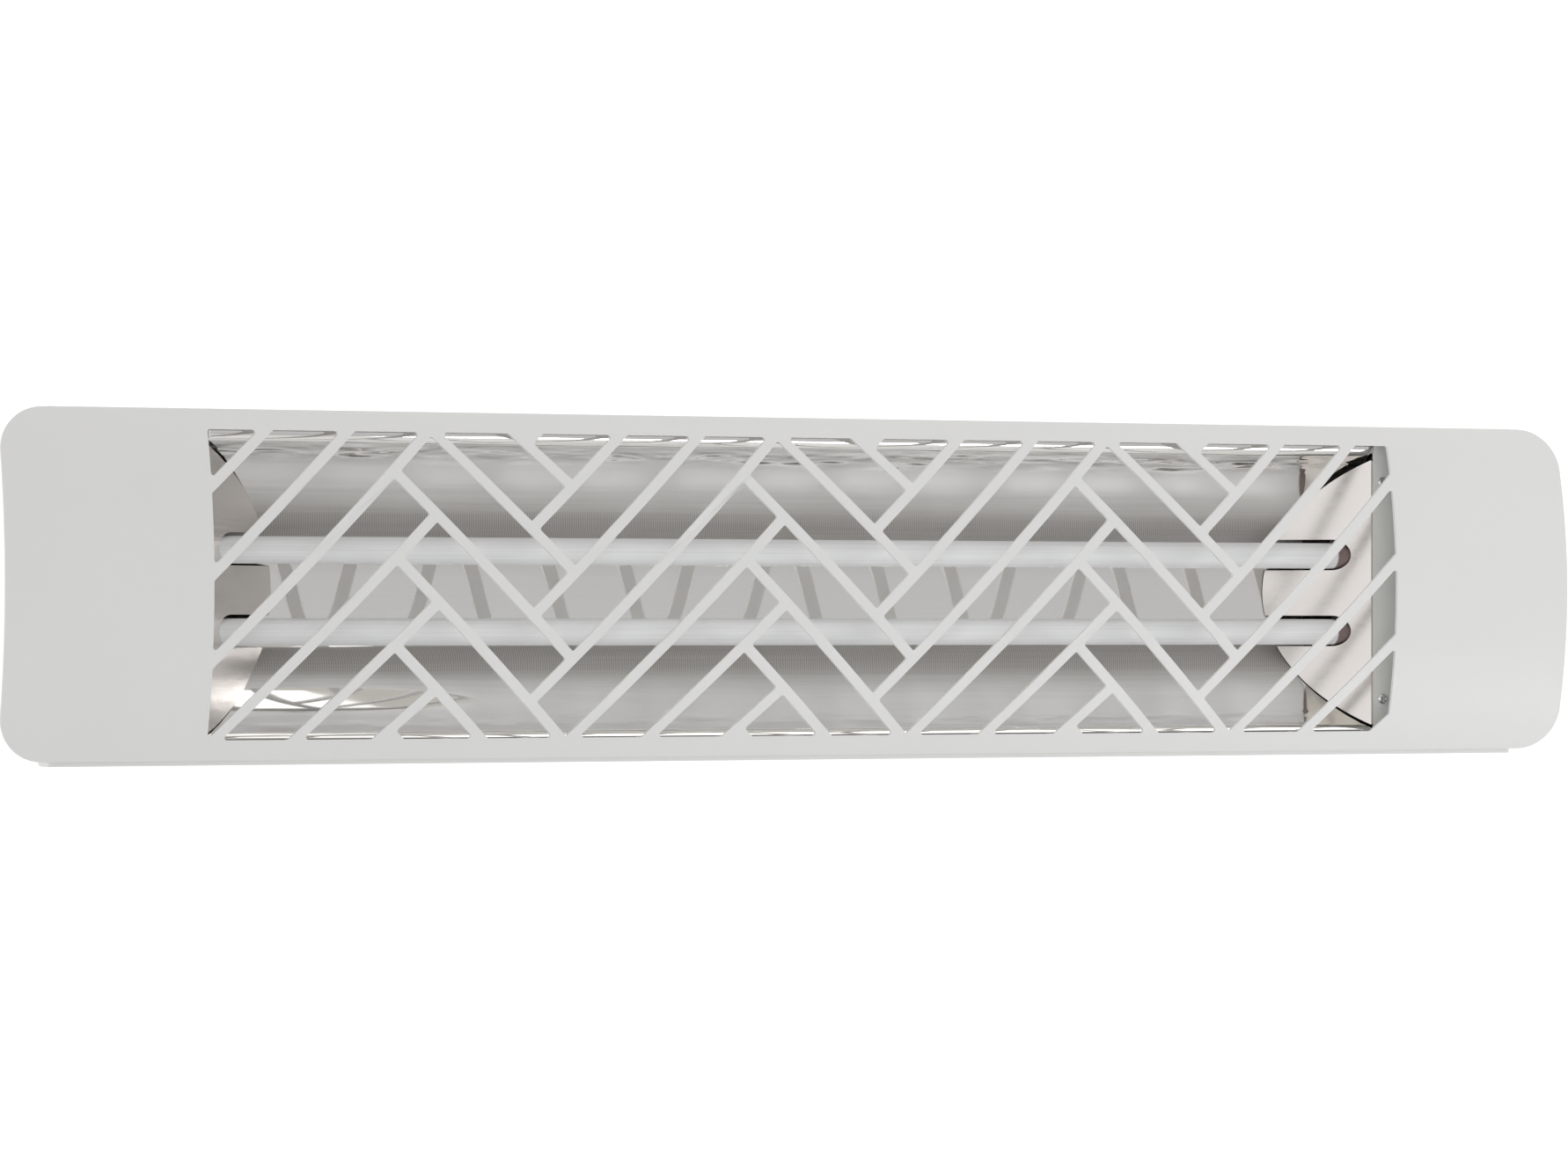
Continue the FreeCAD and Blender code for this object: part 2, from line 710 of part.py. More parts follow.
def housing_end(side_name, side):
    """An end cap: a flat plate with a bowed front edge, and a closed flange inside the housing."""
    name = f"housing_end_{side_name}"
    body = new_body(name)
    raise_z = dim("plate_raise")
    edge_radius = plate_inner_radius - dim("cap_gap")
    top_y = bow_centre_y - chord_height(edge_radius, half_height - raise_z)
    bottom_y = bow_centre_y - chord_height(edge_radius, half_height + raise_z)
    gauge = dim("housing_gauge")
    outline = sloped_rear(bottom_y, as_size(0))[:-1] + [(top_y, half_height, edge_radius)]
    outer = side * shell_half
    plate_low = lower(outer, outer + side * gauge)
    pad(body, "YZ_Plane", name + "_plate", outline, plate_low, gauge)
    flange = dim("cap_flange")
    ring_low = lower(outer, outer - side * flange)
    fit = dim("cap_fit")
    ring_front = cover_back_y + TOUCH
    ring_rear = rear_inner_y - fit
    sheet_gauge = dim("cap_gauge")
    pad(body, "YZ_Plane", name + "_flange", sloped_rear(ring_front, gauge + fit), ring_low, flange)
    pocket(body, "YZ_Plane", name + "_hollow",
           sloped_rear(ring_front + sheet_gauge, gauge + fit + sheet_gauge), ring_low, flange)
    inset = side * (shell_half - flange / 2)
    tapped = [(inset, level * dim("cap_screw_height"), END_SCREW_RADIUS) for _, level in LEVELS]
    front_holes = [(inset, level * dim("cover_screw_height"), END_SCREW_RADIUS) for _, level in LEVELS]
    through = sheet_gauge + 2 * BEYOND
    pocket(body, "XZ_Plane", name + "_rear_holes", tapped, ring_rear - sheet_gauge - BEYOND, through,
           draw_circles)
    pocket(body, "XZ_Plane", name + "_front_holes", front_holes, ring_front - BEYOND, through, draw_circles)
    node(body, name)


def pan_screw(name, start, direction, length, shank, head):
    """A pan-head screw along Y: its head stands before start, and its shank goes on from there."""
    head_radius, head_height = head
    top_radius = head_radius * 0.72
    rim = head_height * 0.55
    profile = [(0, 0), (0, top_radius), (rim, head_radius), (head_height, head_radius), (head_height, shank),
               (head_height + length, shank), (head_height + length, 0)]
    if direction < 0:
        profile = [(-along, radius) for along, radius in reversed(profile)]
    x, y, z = start
    return turned(name, profile, (x, y - direction * head_height, z), "Y")


def end_screws():
    screws = [pan_screw(f"end_screw_{number}", (x, rear_y, z), -1, END_SCREW_LENGTH,
                        END_SCREW_RADIUS - TOUCH, END_SCREW_HEAD)
              for number, (x, z) in enumerate(end_screw_places())]
    node(group("end_screw_set", screws), "end_screws")


def chassis_rivets():
    rivets = [pan_screw(f"rivet_{number}", (x, rear_y, z), -1, RIVET_LENGTH,
                        RIVET_RADIUS - TOUCH, RIVET_HEAD)
              for number, (x, z) in enumerate(rivet_places())]
    node(group("rivet_set", rivets), "chassis_rivets")


# ---- reflector ---------------------------------------------------------------------------------

def reflector():
    """The trough: a round channel whose lips roll outwards into flat flanges."""
    body = new_body("reflector_body")
    gauge = dim("mirror_gauge")
    radius = dim("trough_radius")
    roll = dim("mirror_roll")
    half = dim("trough_half")
    tip = inner_half - dim("mirror_gap")
    edge_y = trough_centre_y + trough_reach
    back_y = flange_y + gauge
    growth = 1 + gauge / radius
    outer_edge_y = trough_centre_y + trough_reach * growth
    outer_half = half * growth
    section = [
        (edge_y, half, -radius), (edge_y, -half, roll), (flange_y, -lip_z), (flange_y, -tip),
        (back_y, -tip), (back_y, -lip_z, gauge - roll), (outer_edge_y, -outer_half, radius + gauge),
        (outer_edge_y, outer_half, gauge - roll), (back_y, lip_z), (back_y, tip), (flange_y, tip),
        (flange_y, lip_z, roll),
    ]
    length = dim("trough_length")
    pad(body, "YZ_Plane", "reflector_trough", section, -length / 2, length)
    node(body, "reflector")


def reflector_end(side_name, side):
    """A sloped end of the trough, bent into a flange behind the end cover, with two lamp notches."""
    name = f"reflector_end_{side_name}"
    body = new_body(name + "_sheet")
    run = dim("end_run")
    fall = dim("end_fall")
    slope = root(run * run + fall * fall)
    inward = run / slope
    deeper = fall / slope
    gauge = dim("mirror_gauge")
    reach = dim("end_reach")
    start_y = flange_y + dim("end_bend")
    past = slope + 2 * BEYOND
    flange_back = cover_back_y + gauge
    back_x = reach + gauge * deeper
    back_y = start_y + gauge * inward
    meet = (flange_back - back_y) / deeper
    outline = [
        (side * reach, start_y),
        (side * (reach - past * inward), start_y + past * deeper),
        (side * (back_x - past * inward), back_y + past * deeper),
        (side * (back_x - meet * inward), flange_back),
        (side * (reach + dim("end_flange")), flange_back),
        (side * (reach + dim("end_flange")), cover_back_y),
        (side * (reach + 2 * dim("end_bend")), cover_back_y),
    ]
    pad(body, "XY_Plane", name + "_fold", outline, -lip_z, 2 * lip_z)
    centre_y = face_y + dim("end_depth") - dim("end_radius")
    past_ends = reach + 50
    edge = cylinder(name + "_edge", dim("end_radius"), 2 * past_ends,
                    (-past_ends, centre_y, -dim("end_drop")), "X")
    notches = []
    notch = dim("notch_radius")
    end_x = side * dim("notch_reach")
    length = dim("end_run")
    through = 1.5 * dim("end_depth")
    for level_name, level in LEVELS:
        tag = f"{name}_{level_name}"
        z = lamp_z(level) + dim("notch_raise")
        notches.append(cylinder(tag + "_notch_end", notch, through, (end_x, face_y, z), "Y"))
        low_x = lower(end_x, end_x - side * length)
        notches.append(box(tag + "_notch", (low_x, face_y, z - notch), (length, through, 2 * notch)))
        hole = (side * dim("cover_screw_reach"), face_y, level * dim("cover_screw_height"))
        notches.append(cylinder(tag + "_hole", END_SCREW_RADIUS, through, hole, "Y"))
    trimmed = common(name + "_trim", [body, edge])
    node(cut(name + "_cut", trimmed, notches), name)


def end_cover(side_name, side):
    """The flat cover of an end compartment; its inner edge and two screws show in the opening."""
    name = f"end_cover_{side_name}"
    body = new_body(name)
    outer = side * (shell_half - dim("cover_gap"))
    inner = side * dim("cover_inner")
    half = dim("cover_height") / 2
    low_x, high_x = (inner, outer) if side > 0 else (outer, inner)
    pad(body, "XZ_Plane", name + "_sheet", rectangle(low_x, -half, high_x, half),
        flange_y, dim("cover_gauge"))
    holes = []
    for x, clear in cover_screw_columns(side):
        holes += [(x, level * dim("cover_screw_height"), clear) for _, level in LEVELS]
    for _, level in LEVELS:
        holes.append((side * dim("post_spread"), dim("plate_raise") + level * dim("post_height"),
                      dim("post_radius") + 1.3))
    pocket(body, "XZ_Plane", name + "_holes", holes, flange_y - BEYOND, dim("cover_gauge") + 2 * BEYOND,
           draw_circles)
    node(body, name)


def cover_screw_columns(side):
    """The two columns of screws in an end cover, as (X, radius of their holes)."""
    clear = END_SCREW_RADIUS + 0.2
    return ((side * dim("cover_screw_reach"), clear),
            (side * (shell_half - dim("cap_flange") / 2), clear))


def cover_screws():
    """Cross-recessed screws: two columns in each end cover."""
    screws = []
    arm, width, depth = RECESS
    top = flange_y - COVER_SCREW_HEAD[1] - 0.5
    for _, side in SIDES:
        for x, _ in cover_screw_columns(side):
            for _, level in LEVELS:
                name = f"cover_screw_{len(screws)}"
                z = level * dim("cover_screw_height")
                screw = pan_screw(name + "_turned", (x, flange_y, z), 1, COVER_SCREW_LENGTH,
                                  END_SCREW_RADIUS - TOUCH, COVER_SCREW_HEAD)
                cross = [
                    box(name + "_wide", (x - arm, top, z - width / 2), (2 * arm, depth, width)),
                    box(name + "_tall", (x - width / 2, top, z - arm), (width, depth, 2 * arm)),
                ]
                screws.append(cut(name, screw, cross))
    node(group("cover_screw_set", screws), "cover_screws")


def reflector_support(side_name, side):
    """A rib with a curved saddle that the trough rests on, and a foot on the housing's rear."""
    name = f"reflector_support_{side_name}"
    gauge = dim("support_gauge")
    half = dim("support_height") / 2
    x = side * dim("support_reach")
    width = dim("foot_width")
    low_y = face_y + dim("support_depth")
    rib_low = lower(x, x - side * gauge)
    rib = box(name + "_rib", (rib_low, low_y, -half), (gauge, chassis_y - low_y, 2 * half))
    foot_low = lower(x, x + side * width)
    foot = box(name + "_foot", (foot_low, chassis_y - gauge, -half), (width, gauge, 2 * half))
    across = 2 * width
    start_x = x - width
    saddle_radius = dim("trough_radius") + dim("mirror_gauge") + 2 * TOUCH
    tools = [cylinder(name + "_saddle", saddle_radius, across, (start_x, trough_centre_y, as_size(0)), "X")]
    for level_name, level in LEVELS:
        rivet_x, rivet_z = support_rivet(side, level)
        tools.append(cylinder(f"{name}_{level_name}_rivet", RIVET_RADIUS, gauge + 2 * BEYOND,
                              (rivet_x, chassis_y - gauge - BEYOND, rivet_z), "Y"))
    blank = fuse(name + "_blank", [rib, foot])
    node(cut(name + "_cut", blank, tools), name)


# ---- lamps -------------------------------------------------------------------------------------

def lamps():
    """Each lamp is a quartz tube round a heating coil, with a ceramic cap on each end."""
    half = dim("lamp_length") / 2
    for level_name, level in LEVELS:
        z = lamp_z(level)
        start = (-half, lamp_y, z)
        radius = dim("lamp_radius")
        coil = dim("coil_radius")
        glass = [(0, radius - dim("lamp_wall")), (0, radius), (2 * half, radius),
                 (2 * half, radius - dim("lamp_wall"))]
        node(turned(f"lamp_tube_{level_name}", glass, start, "X"), f"lamp_tube_{level_name}")
        hollow = coil - dim("coil_wall")
        wire = [(0, hollow), (0, coil), (2 * half, coil), (2 * half, hollow)]
        node(turned(f"heating_coil_{level_name}", wire, start, "X"), f"heating_coil_{level_name}")
        for side_name, side in SIDES:
            lamp_cap(f"lamp_cap_{level_name}_{side_name}", side, z)


def lamp_cap(name, side, z):
    """A ceramic cap: the tube's end sits in its bore, and its holder grips it at the neck."""
    inner = dim("lamp_length") / 2 - SOCKET_OVERLAP
    length = dim("socket_length")
    outside = dim("socket_radius")
    neck = dim("socket_neck")
    bore = dim("lamp_radius") + 2 * TOUCH
    play = 0.3
    neck_low = dim("holder_reach") - inner - play
    neck_high = neck_low + dim("holder_gauge") + 2 * play
    seat = SOCKET_OVERLAP + 0.2
    bevel = 0.6
    profile = [(0, bore), (0, outside - bevel), (bevel, outside), (neck_low, outside), (neck_low, neck),
               (neck_high, neck), (neck_high, outside), (length - bevel, outside), (length, outside - bevel),
               (length, TERMINAL_RADIUS), (seat, TERMINAL_RADIUS), (seat, bore)]
    if side < 0:
        profile = [(-along, radius) for along, radius in reversed(profile)]
    node(turned(name, profile, (side * inner, lamp_y, z), "X"), name)


def lamp_terminals():
    """The brass pins in the caps, with a collar that each lead is crimped to."""
    pins = []
    start = dim("lamp_length") / 2 + 1
    end = dim("lamp_length") / 2 - SOCKET_OVERLAP + dim("socket_length") + TERMINAL_REACH
    length = end - start
    collar = TERMINAL_REACH - 2
    for level_name, level in LEVELS:
        for side_name, side in SIDES:
            radius = TERMINAL_RADIUS - TOUCH
            collar_radius = radius + 1.2
            profile = [(0, 0), (0, radius), (length - collar, radius), (length - collar, collar_radius),
                       (length, collar_radius), (length, 0)]
            if side < 0:
                profile = [(-along, size) for along, size in reversed(profile)]
            pins.append(turned(f"terminal_{level_name}_{side_name}", profile,
                               (side * start, lamp_y, lamp_z(level)), "X"))
    node(group("terminal_pin_set", pins), "lamp_terminals")


def lamp_holder(side_name, side):
    """An upright sheet with two cradles open to the front, riveted to the housing's rear."""
    name = f"lamp_holder_{side_name}"
    gauge = dim("holder_gauge")
    half = dim("holder_height") / 2
    width = dim("foot_width")
    reach = side * dim("holder_reach")
    low_x = lower(reach, reach + side * gauge)
    front = lamp_y - dim("holder_cheek")
    upright = box(name + "_upright", (low_x, front, -half), (gauge, chassis_y - front, 2 * half))
    foot_low = lower(reach, reach - side * width)
    foot = box(name + "_foot", (foot_low, chassis_y - gauge, -half), (width, gauge, 2 * half))
    cradle = dim("socket_neck") + TOUCH
    mouth = dim("holder_cheek") + BEYOND
    across = 2 * width
    start_x = reach - width
    ways = []
    for level_name, level in LEVELS:
        tag = f"{name}_{level_name}"
        z = lamp_z(level)
        ways.append(cylinder(tag + "_cradle", cradle, across, (start_x, lamp_y, z), "X"))
        ways.append(box(tag + "_mouth", (start_x, lamp_y - mouth, z - cradle), (across, mouth, 2 * cradle)))
        rivet_x, rivet_z = holder_rivet(side, level)
        ways.append(cylinder(tag + "_rivet", RIVET_RADIUS, gauge + 2 * BEYOND,
                             (rivet_x, chassis_y - gauge - BEYOND, rivet_z), "Y"))
    blank = fuse(name + "_blank", [upright, foot])
    node(cut(name + "_cut", blank, ways), name)


def lamp_clips():
    """Spring clips that snap over the caps, one beside each cradle."""
    clips = []
    inside = dim("socket_radius") + TOUCH
    outside = dim("socket_radius") + 0.9
    width = dim("clip_width")
    mouth = dim("clip_mouth")
    through = width + 2 * BEYOND
    for level_name, level in LEVELS:
        for side_name, side in SIDES:
            tag = f"clip_{level_name}_{side_name}"
            z = lamp_z(level)
            low = side * (dim("holder_reach") + dim("holder_gauge") + 0.8)
            x = lower(low, low + side * width)
            ring = cylinder(tag + "_outer", outside, width, (x, lamp_y, z), "X")
            hollow = cylinder(tag + "_inner", inside, through, (x - BEYOND, lamp_y, z), "X")
            gap = box(tag + "_mouth", (x - BEYOND, lamp_y - 2 * outside, z - mouth / 2),
                      (through, 2 * outside, mouth))
            clips.append(cut(tag, ring, [hollow, gap]))
    node(group("clip_set", clips), "lamp_clips")


# ---- wiring ------------------------------------------------------------------------------------

def lead(name, points):
    """An insulated lead along straight runs joined by tangent arcs."""
    spots = [Vector(*(as_size(part).value for part in point)) for point in points]
    edges = []
    start = spots[0]
    for before, corner, after in zip(spots, spots[1:], spots[2:]):
        towards = (before - corner).normalize()
        onwards = (after - corner).normalize()
        shorter = min((before - corner).Length, (after - corner).Length)
        cutback = LEAD_BEND * shorter
        first = corner + towards * cutback
        last = corner + onwards * cutback
        half_angle = towards.getAngle(onwards) / 2
        bisector = (towards + onwards).normalize()
        radius = cutback * math.tan(half_angle)
        centre = corner + bisector * (radius / math.sin(half_angle))
        middle = centre - bisector * radius
        edges += [Part.makeLine(start, first), Part.Arc(first, middle, last).toShape()]
        start = last
    edges.append(Part.makeLine(start, spots[-1]))
    path = Part.Wire(edges)
    ring = Part.makeCircle(dim("lead_radius").value, spots[0], spots[1] - spots[0])
    piece = doc.addObject("Part::Feature", name)
    piece.Shape = path.makePipeShell([Part.Wire([ring])], True, False)
    node(piece, name)


def leads():
    """Lamp leads on the left go straight to the terminal block; those on the right return behind
    the reflector, because the supply comes in on the left."""
    tip = dim("lamp_length") / 2 - SOCKET_OVERLAP + dim("socket_length") + TERMINAL_REACH + TOUCH
    block_low = dim("terminal_height") - BLOCK_SPAN / 2 - TOUCH
    block_high = dim("terminal_height") + BLOCK_SPAN / 2 + TOUCH
    block_x = -dim("terminal_reach")
    left_well = block_x - WELL_REACH
    right_well = block_x + WELL_REACH
    near = tip + 9
    for level_name, level in LEVELS:
        z = lamp_z(level)
        start = [(-tip, lamp_y, z), (-near, lamp_y, z)]
        if level > 0:
            route = [(-near, lamp_y + 18, z - 3), (left_well, return_y, 9), (left_well, return_y, block_low)]
        else:
            route = [(-near, lamp_y + 18, z), (2 - near, lamp_y + 27, 4), (right_well, return_y, 9),
                     (right_well, return_y, block_low)]
        lead(f"lead_{level_name}", start + route)
        back = return_z(level)
        start = [(tip, lamp_y, z), (near, lamp_y, z), (near, lamp_y + 16, z + level * 12),
                 (near - 8, return_y, back)]
        if level > 0:
            route = [(right_well, return_y, back), (right_well, return_y, block_high)]
        else:
            edge = block_x - 22
            route = [(edge + 12, return_y, back), (edge, return_y, back + 12), (edge, return_y, -back - 10),
                     (edge + 7, return_y, -back), (left_well, return_y, -back),
                     (left_well, return_y, block_high)]
        lead(f"return_lead_{level_name}", start + route)


def terminal_block():
    """A block with six clamping screws in wells that are open to the front."""
    name = "terminal_block"
    body = new_body(name)
    x = -dim("terminal_reach")
    z = dim("terminal_height")
    low = chassis_y - BLOCK_DEPTH
    half = BLOCK_SPAN / 2
    wide = BLOCK_WIDTH / 2
    pad(body, "XZ_Plane", name + "_base", rectangle(x - wide, z - half, x + wide, z + half),
        low, as_size(BLOCK_DEPTH))
    wells = [(x + across, z + up, WELL_RADIUS) for across in (-WELL_REACH, WELL_REACH)
             for up in (-WELL_PITCH, 0, WELL_PITCH)]
    pocket(body, "XZ_Plane", name + "_wells", wells, low, as_size(WELL_DEPTH), draw_circles)
    node(body, name)
    screws = []
    for number, (screw_x, screw_z, _) in enumerate(wells):
        tag = f"terminal_screw_{number}"
        start_y = low + WELL_DEPTH / 2
        shank = cylinder(tag + "_shank", WELL_RADIUS - 0.2, as_size(WELL_DEPTH / 2),
                         (screw_x, start_y, screw_z), "Y")
        slot = box(tag + "_slot", (screw_x - WELL_RADIUS, start_y - BEYOND, screw_z - 0.4),
                   (2 * WELL_RADIUS, BEYOND + 0.8, 0.8))
        screws.append(cut(tag, shank, [slot]))
    node(group("terminal_screw_set", screws), "terminal_screws")


def earth_stud():
    """A stud through the housing's rear with a nut on each side."""
    x = -dim("terminal_reach")
    z = as_size(EARTH_HEIGHT)
    nut_radius, nut_height = EARTH_NUT
    start = rear_inner_y - 14
    end = rear_y + 4.5
    rod = cylinder("earth_rod", EARTH_RADIUS - TOUCH, end - start, (x, start, z), "Y")
    inner_nut = hexagon("earth_inner_nut", as_size(nut_radius), as_size(nut_height),
                        (x, chassis_y - nut_height, z), "Y")
    outer_nut = hexagon("earth_outer_nut", as_size(nut_radius), as_size(nut_height), (x, seat_y, z), "Y")
    node(fuse("earth_set", [rod, inner_nut, outer_nut]), "earth_stud")


def gland_body(place):
    """The threaded barrel through the housing's rear, with its hexagon and the tail for the cap nut."""
    x, inner_end, z = place
    thread = dim("gland_thread")
    bore = dim("gland_bore") + 1.6
    flats_radius = thread + 3.2
    corner = flats_radius + 0.2
    barrel = seat_y - inner_end
    hexagon_end = barrel + 5
    end = hexagon_end + 7
    bevel = 0.5
    profile = [(0, bore), (0, thread - bevel), (bevel, thread), (barrel, thread), (barrel, corner),
               (hexagon_end, corner), (hexagon_end, thread), (end, thread), (end, bore)]
    round_body = turned("gland_turned", profile, place, "Y")
    past = 2 * barrel
    flats = hexagon("gland_flats", flats_radius, 3 * past, (x, seat_y - past, z), "Y")
    node(common("gland_hexagon", [round_body, flats]), "gland_body")


def gland_nut(place):
    """The cap nut, whose mouth leaves room round the cable."""
    x, start_y, z = place
    thread = dim("gland_thread")
    bore = thread + 2 * TOUCH
    flats_radius = thread + 2.8
    corner = flats_radius - 0.2
    mouth = dim("gland_bore") + 0.9
    shoulder = 8
    bevel = 0.5
    end = shoulder + 2.5
    profile = [(0, bore), (0, corner), (shoulder + bevel, corner), (end, thread + 1), (end, mouth),
               (shoulder, mouth), (shoulder, bore)]
    cap_round = turned("gland_cap_turned", profile, place, "Y")
    flats = hexagon("gland_cap_flats", flats_radius, end + 2 * as_size(BEYOND),
                    (x, start_y - BEYOND, z), "Y")
    node(common("gland_cap_hexagon", [cap_round, flats]), "gland_nut")


def cable_gland():
    """The gland in the housing's rear that the supply cable passes through."""
    x = -dim("gland_reach")
    z = as_size(0)
    bore = dim("gland_bore")
    gland_body((x, rear_inner_y - 7, z))
    gland_nut((x, seat_y + 5.3, z))
    length = 9
    outside = bore + 1.5
    seal = [(0, bore), (0, outside), (length, outside), (length, bore)]
    node(turned("gland_rubber", seal, (x, seat_y + 4, z), "Y"), "gland_seal")
    height = as_size(4)
    blank = hexagon("locknut_blank", dim("gland_thread") + 3, height, (x, chassis_y - height, z), "Y")
    hole = cylinder("locknut_hole", dim("gland_thread") + TOUCH, 2 * height,
                    (x, chassis_y - 1.5 * height, z), "Y")
    node(cut("locknut_cut", blank, [hole]), "gland_locknut")


# ---- brackets ----------------------------------------------------------------------------------

slot_spread = dim("tilt_range") / 2
clamp_y = pivot_y + dim("slot_radius") * cosine(slot_spread)
clamp_z = -dim("slot_radius") * sine(slot_spread)
heater_ear_out = dim("bracket_width") / 2 - dim("bracket_gauge") - dim("bracket_play")


def corner_edges(height, depth):
    """Finds the edges along Y, no longer than depth, at a height above or below the middle."""
    along = runs_along(Vector(0, 1, 0))
    return lambda edge: (along(edge) and edge.Length < depth.value + 0.1
                         and abs(abs(edge.CenterOfMass.z) - height.value) < 0.01)


def clamp_slot():
    """The curved part of the slot that the clamp bolt moves in."""
    sweep = slot_spread + dim("tilt_spare")
    outer = dim("slot_radius") + dim("slot_half")
    inner = dim("slot_radius") - dim("slot_half")
    ahead = cosine(sweep)
    aside = sine(sweep)
    return [(pivot_y + outer * ahead, -outer * aside, outer), (pivot_y + outer * ahead, outer * aside),
            (pivot_y + inner * ahead, inner * aside, -inner), (pivot_y + inner * ahead, -inner * aside)]


def clamp_slot_ends():
    """The round ends of the clamp bolt's slot."""
    sweep = slot_spread + dim("tilt_spare")
    reach = dim("slot_radius")
    return [(pivot_y + reach * cosine(sweep), level * reach * sine(sweep), dim("slot_half"))
            for _, level in LEVELS]


def wall_bracket(side_name, side):
    """A channel on the wall: two ears with the pivot hole and the curved slot of the clamp bolt."""
    name = f"wall_bracket_{side_name}"
    body = new_body(name)
    gauge = dim("bracket_gauge")
    width = dim("bracket_width")
    middle = side * dim("bracket_reach")
    half_width = width / 2
    nose_y = pivot_y - dim("ear_nose")
    nose_z = dim("ear_nose") + 1
    shoulder_y = pivot_y + 37
    shoulder_z = dim("ear_height") - 4
    wall_z = dim("ear_height")
    ear = [(-gauge, wall_z), (shoulder_y, shoulder_z), (nose_y, nose_z),
           (nose_y, -nose_z), (shoulder_y, -shoulder_z), (-gauge, -wall_z)]
    pad(body, "YZ_Plane", name + "_ears", ear, middle - half_width, width)
    round_edges(body, name + "_nose", as_size(12),
                lambda edge: runs_along(Vector(1, 0, 0))(edge) and edge.CenterOfMass.y < nose_y.value + 1)
    inner = half_width - gauge
    tall = 1.5 * wall_z
    pocket(body, "XZ_Plane", name + "_channel", rectangle(middle - inner, -tall, middle + inner, tall),
           nose_y - BEYOND, -gauge - nose_y + BEYOND)
    half_plate = dim("screw_spacing") / 2 + 15
    wide = half_width + 4
    pad(body, "XZ_Plane", name + "_foot", rectangle(middle - wide, -half_plate, middle + wide, half_plate),
        -gauge, gauge)
    round_edges(body, name + "_foot_corners", as_size(8), corner_edges(half_plate, gauge))
    through = 1.5 * width
    pocket(body, "YZ_Plane", name + "_slot", clamp_slot(), middle - through / 2, through)
    rounds = clamp_slot_ends() + [(pivot_y, 0, dim("pivot_radius") + dim("pivot_play"))]
    pocket(body, "YZ_Plane", name + "_round_holes", rounds, middle - through / 2, through, draw_circles)
    screws = [(middle, level * dim("screw_spacing") / 2, dim("screw_hole")) for _, level in LEVELS]
    pocket(body, "XZ_Plane", name + "_screw_holes", screws, -gauge - BEYOND, gauge + 2 * BEYOND,
           draw_circles)
    node(body, name)


def heater_bracket(side_name, side):
    """A channel on the housing's rear, whose ears turn inside those of the wall bracket."""
    name = f"heater_bracket_{side_name}"
    body = new_body(name)
    gauge = dim("bracket_gauge")
    middle = side * dim("bracket_reach")
    half_foot = dim("foot_height") / 2
    ear = [(seat_y, -half_foot), (seat_y, half_foot), (pivot_y - 14, half_foot - 2), (pivot_y + 12, 15),
           (clamp_y + 9, clamp_z + 9), (clamp_y + 10, clamp_z - 5), (clamp_y - 3, clamp_z - 11),
           (pivot_y - 14, 2 - half_foot)]
    pad(body, "YZ_Plane", name + "_ears", ear, middle - heater_ear_out, 2 * heater_ear_out)
    round_edges(body, name + "_nose", as_size(5),
                lambda edge: runs_along(Vector(1, 0, 0))(edge) and edge.CenterOfMass.y > pivot_y.value)
    inner = heater_ear_out - gauge
    tall = dim("foot_height")
    pocket(body, "XZ_Plane", name + "_channel", rectangle(middle - inner, -tall, middle + inner, tall),
           seat_y + gauge, -seat_y - gauge)
    wide = heater_ear_out + dim("foot_flange")
    pad(body, "XZ_Plane", name + "_foot", rectangle(middle - wide, -half_foot, middle + wide, half_foot),
        seat_y, gauge)
    round_edges(body, name + "_foot_corners", as_size(6), corner_edges(half_foot, gauge))
    through = dim("bracket_width")
    rounds = [(pivot_y, 0, dim("pivot_radius") + dim("pivot_play")),
              (clamp_y, clamp_z, dim("clamp_radius") + 2 * TOUCH)]
    pocket(body, "YZ_Plane", name + "_round_holes", rounds, middle - through / 2, through, draw_circles)
    screws = [(middle + offset, 0, SCREW_RADIUS + SCREW_PLAY) for offset in SCREW_OFFSETS]
    pocket(body, "XZ_Plane", name + "_screw_holes", screws, seat_y - BEYOND, gauge + 2 * BEYOND,
           draw_circles)
    node(body, name)


def cross_bolt(name, place, radius, reach, washer):
    """A hexagon bolt along X through both ears, its nut, and its two washers."""
    x, y, z = place
    head = radius * 1.9
    head_height = radius * 1.3
    thick = as_size(WASHER_GAUGE)
    start = x - reach
    spare_thread = 3
    shank = cylinder(name + "_shank", radius, 2 * reach + 2 * thick + head_height + spare_thread,
                     (start - thick, y, z), "X")
    cap = hexagon(name + "_head", head, head_height, (start - thick - head_height, y, z), "X")
    bolt = fuse(name, [shank, cap])
    nut_x = x + reach + thick
    nut_blank = hexagon(name + "_nut_blank", head, head_height, (nut_x, y, z), "X")
    nut_hole = cylinder(name + "_nut_hole", radius + THREAD_PLAY, 3 * head_height,
                        (nut_x - head_height, y, z), "X")
    nut = cut(name + "_nut", nut_blank, [nut_hole])
    washers = []
    for number, low in enumerate((start - thick, x + reach)):
        disc = cylinder(f"{name}_washer{number}_disc", washer, thick, (low, y, z), "X")
        hole = cylinder(f"{name}_washer{number}_hole", radius + 0.2, 3 * thick, (low - thick, y, z), "X")
        washers.append(cut(f"{name}_washer{number}", disc, [hole]))
    return bolt, nut, washers


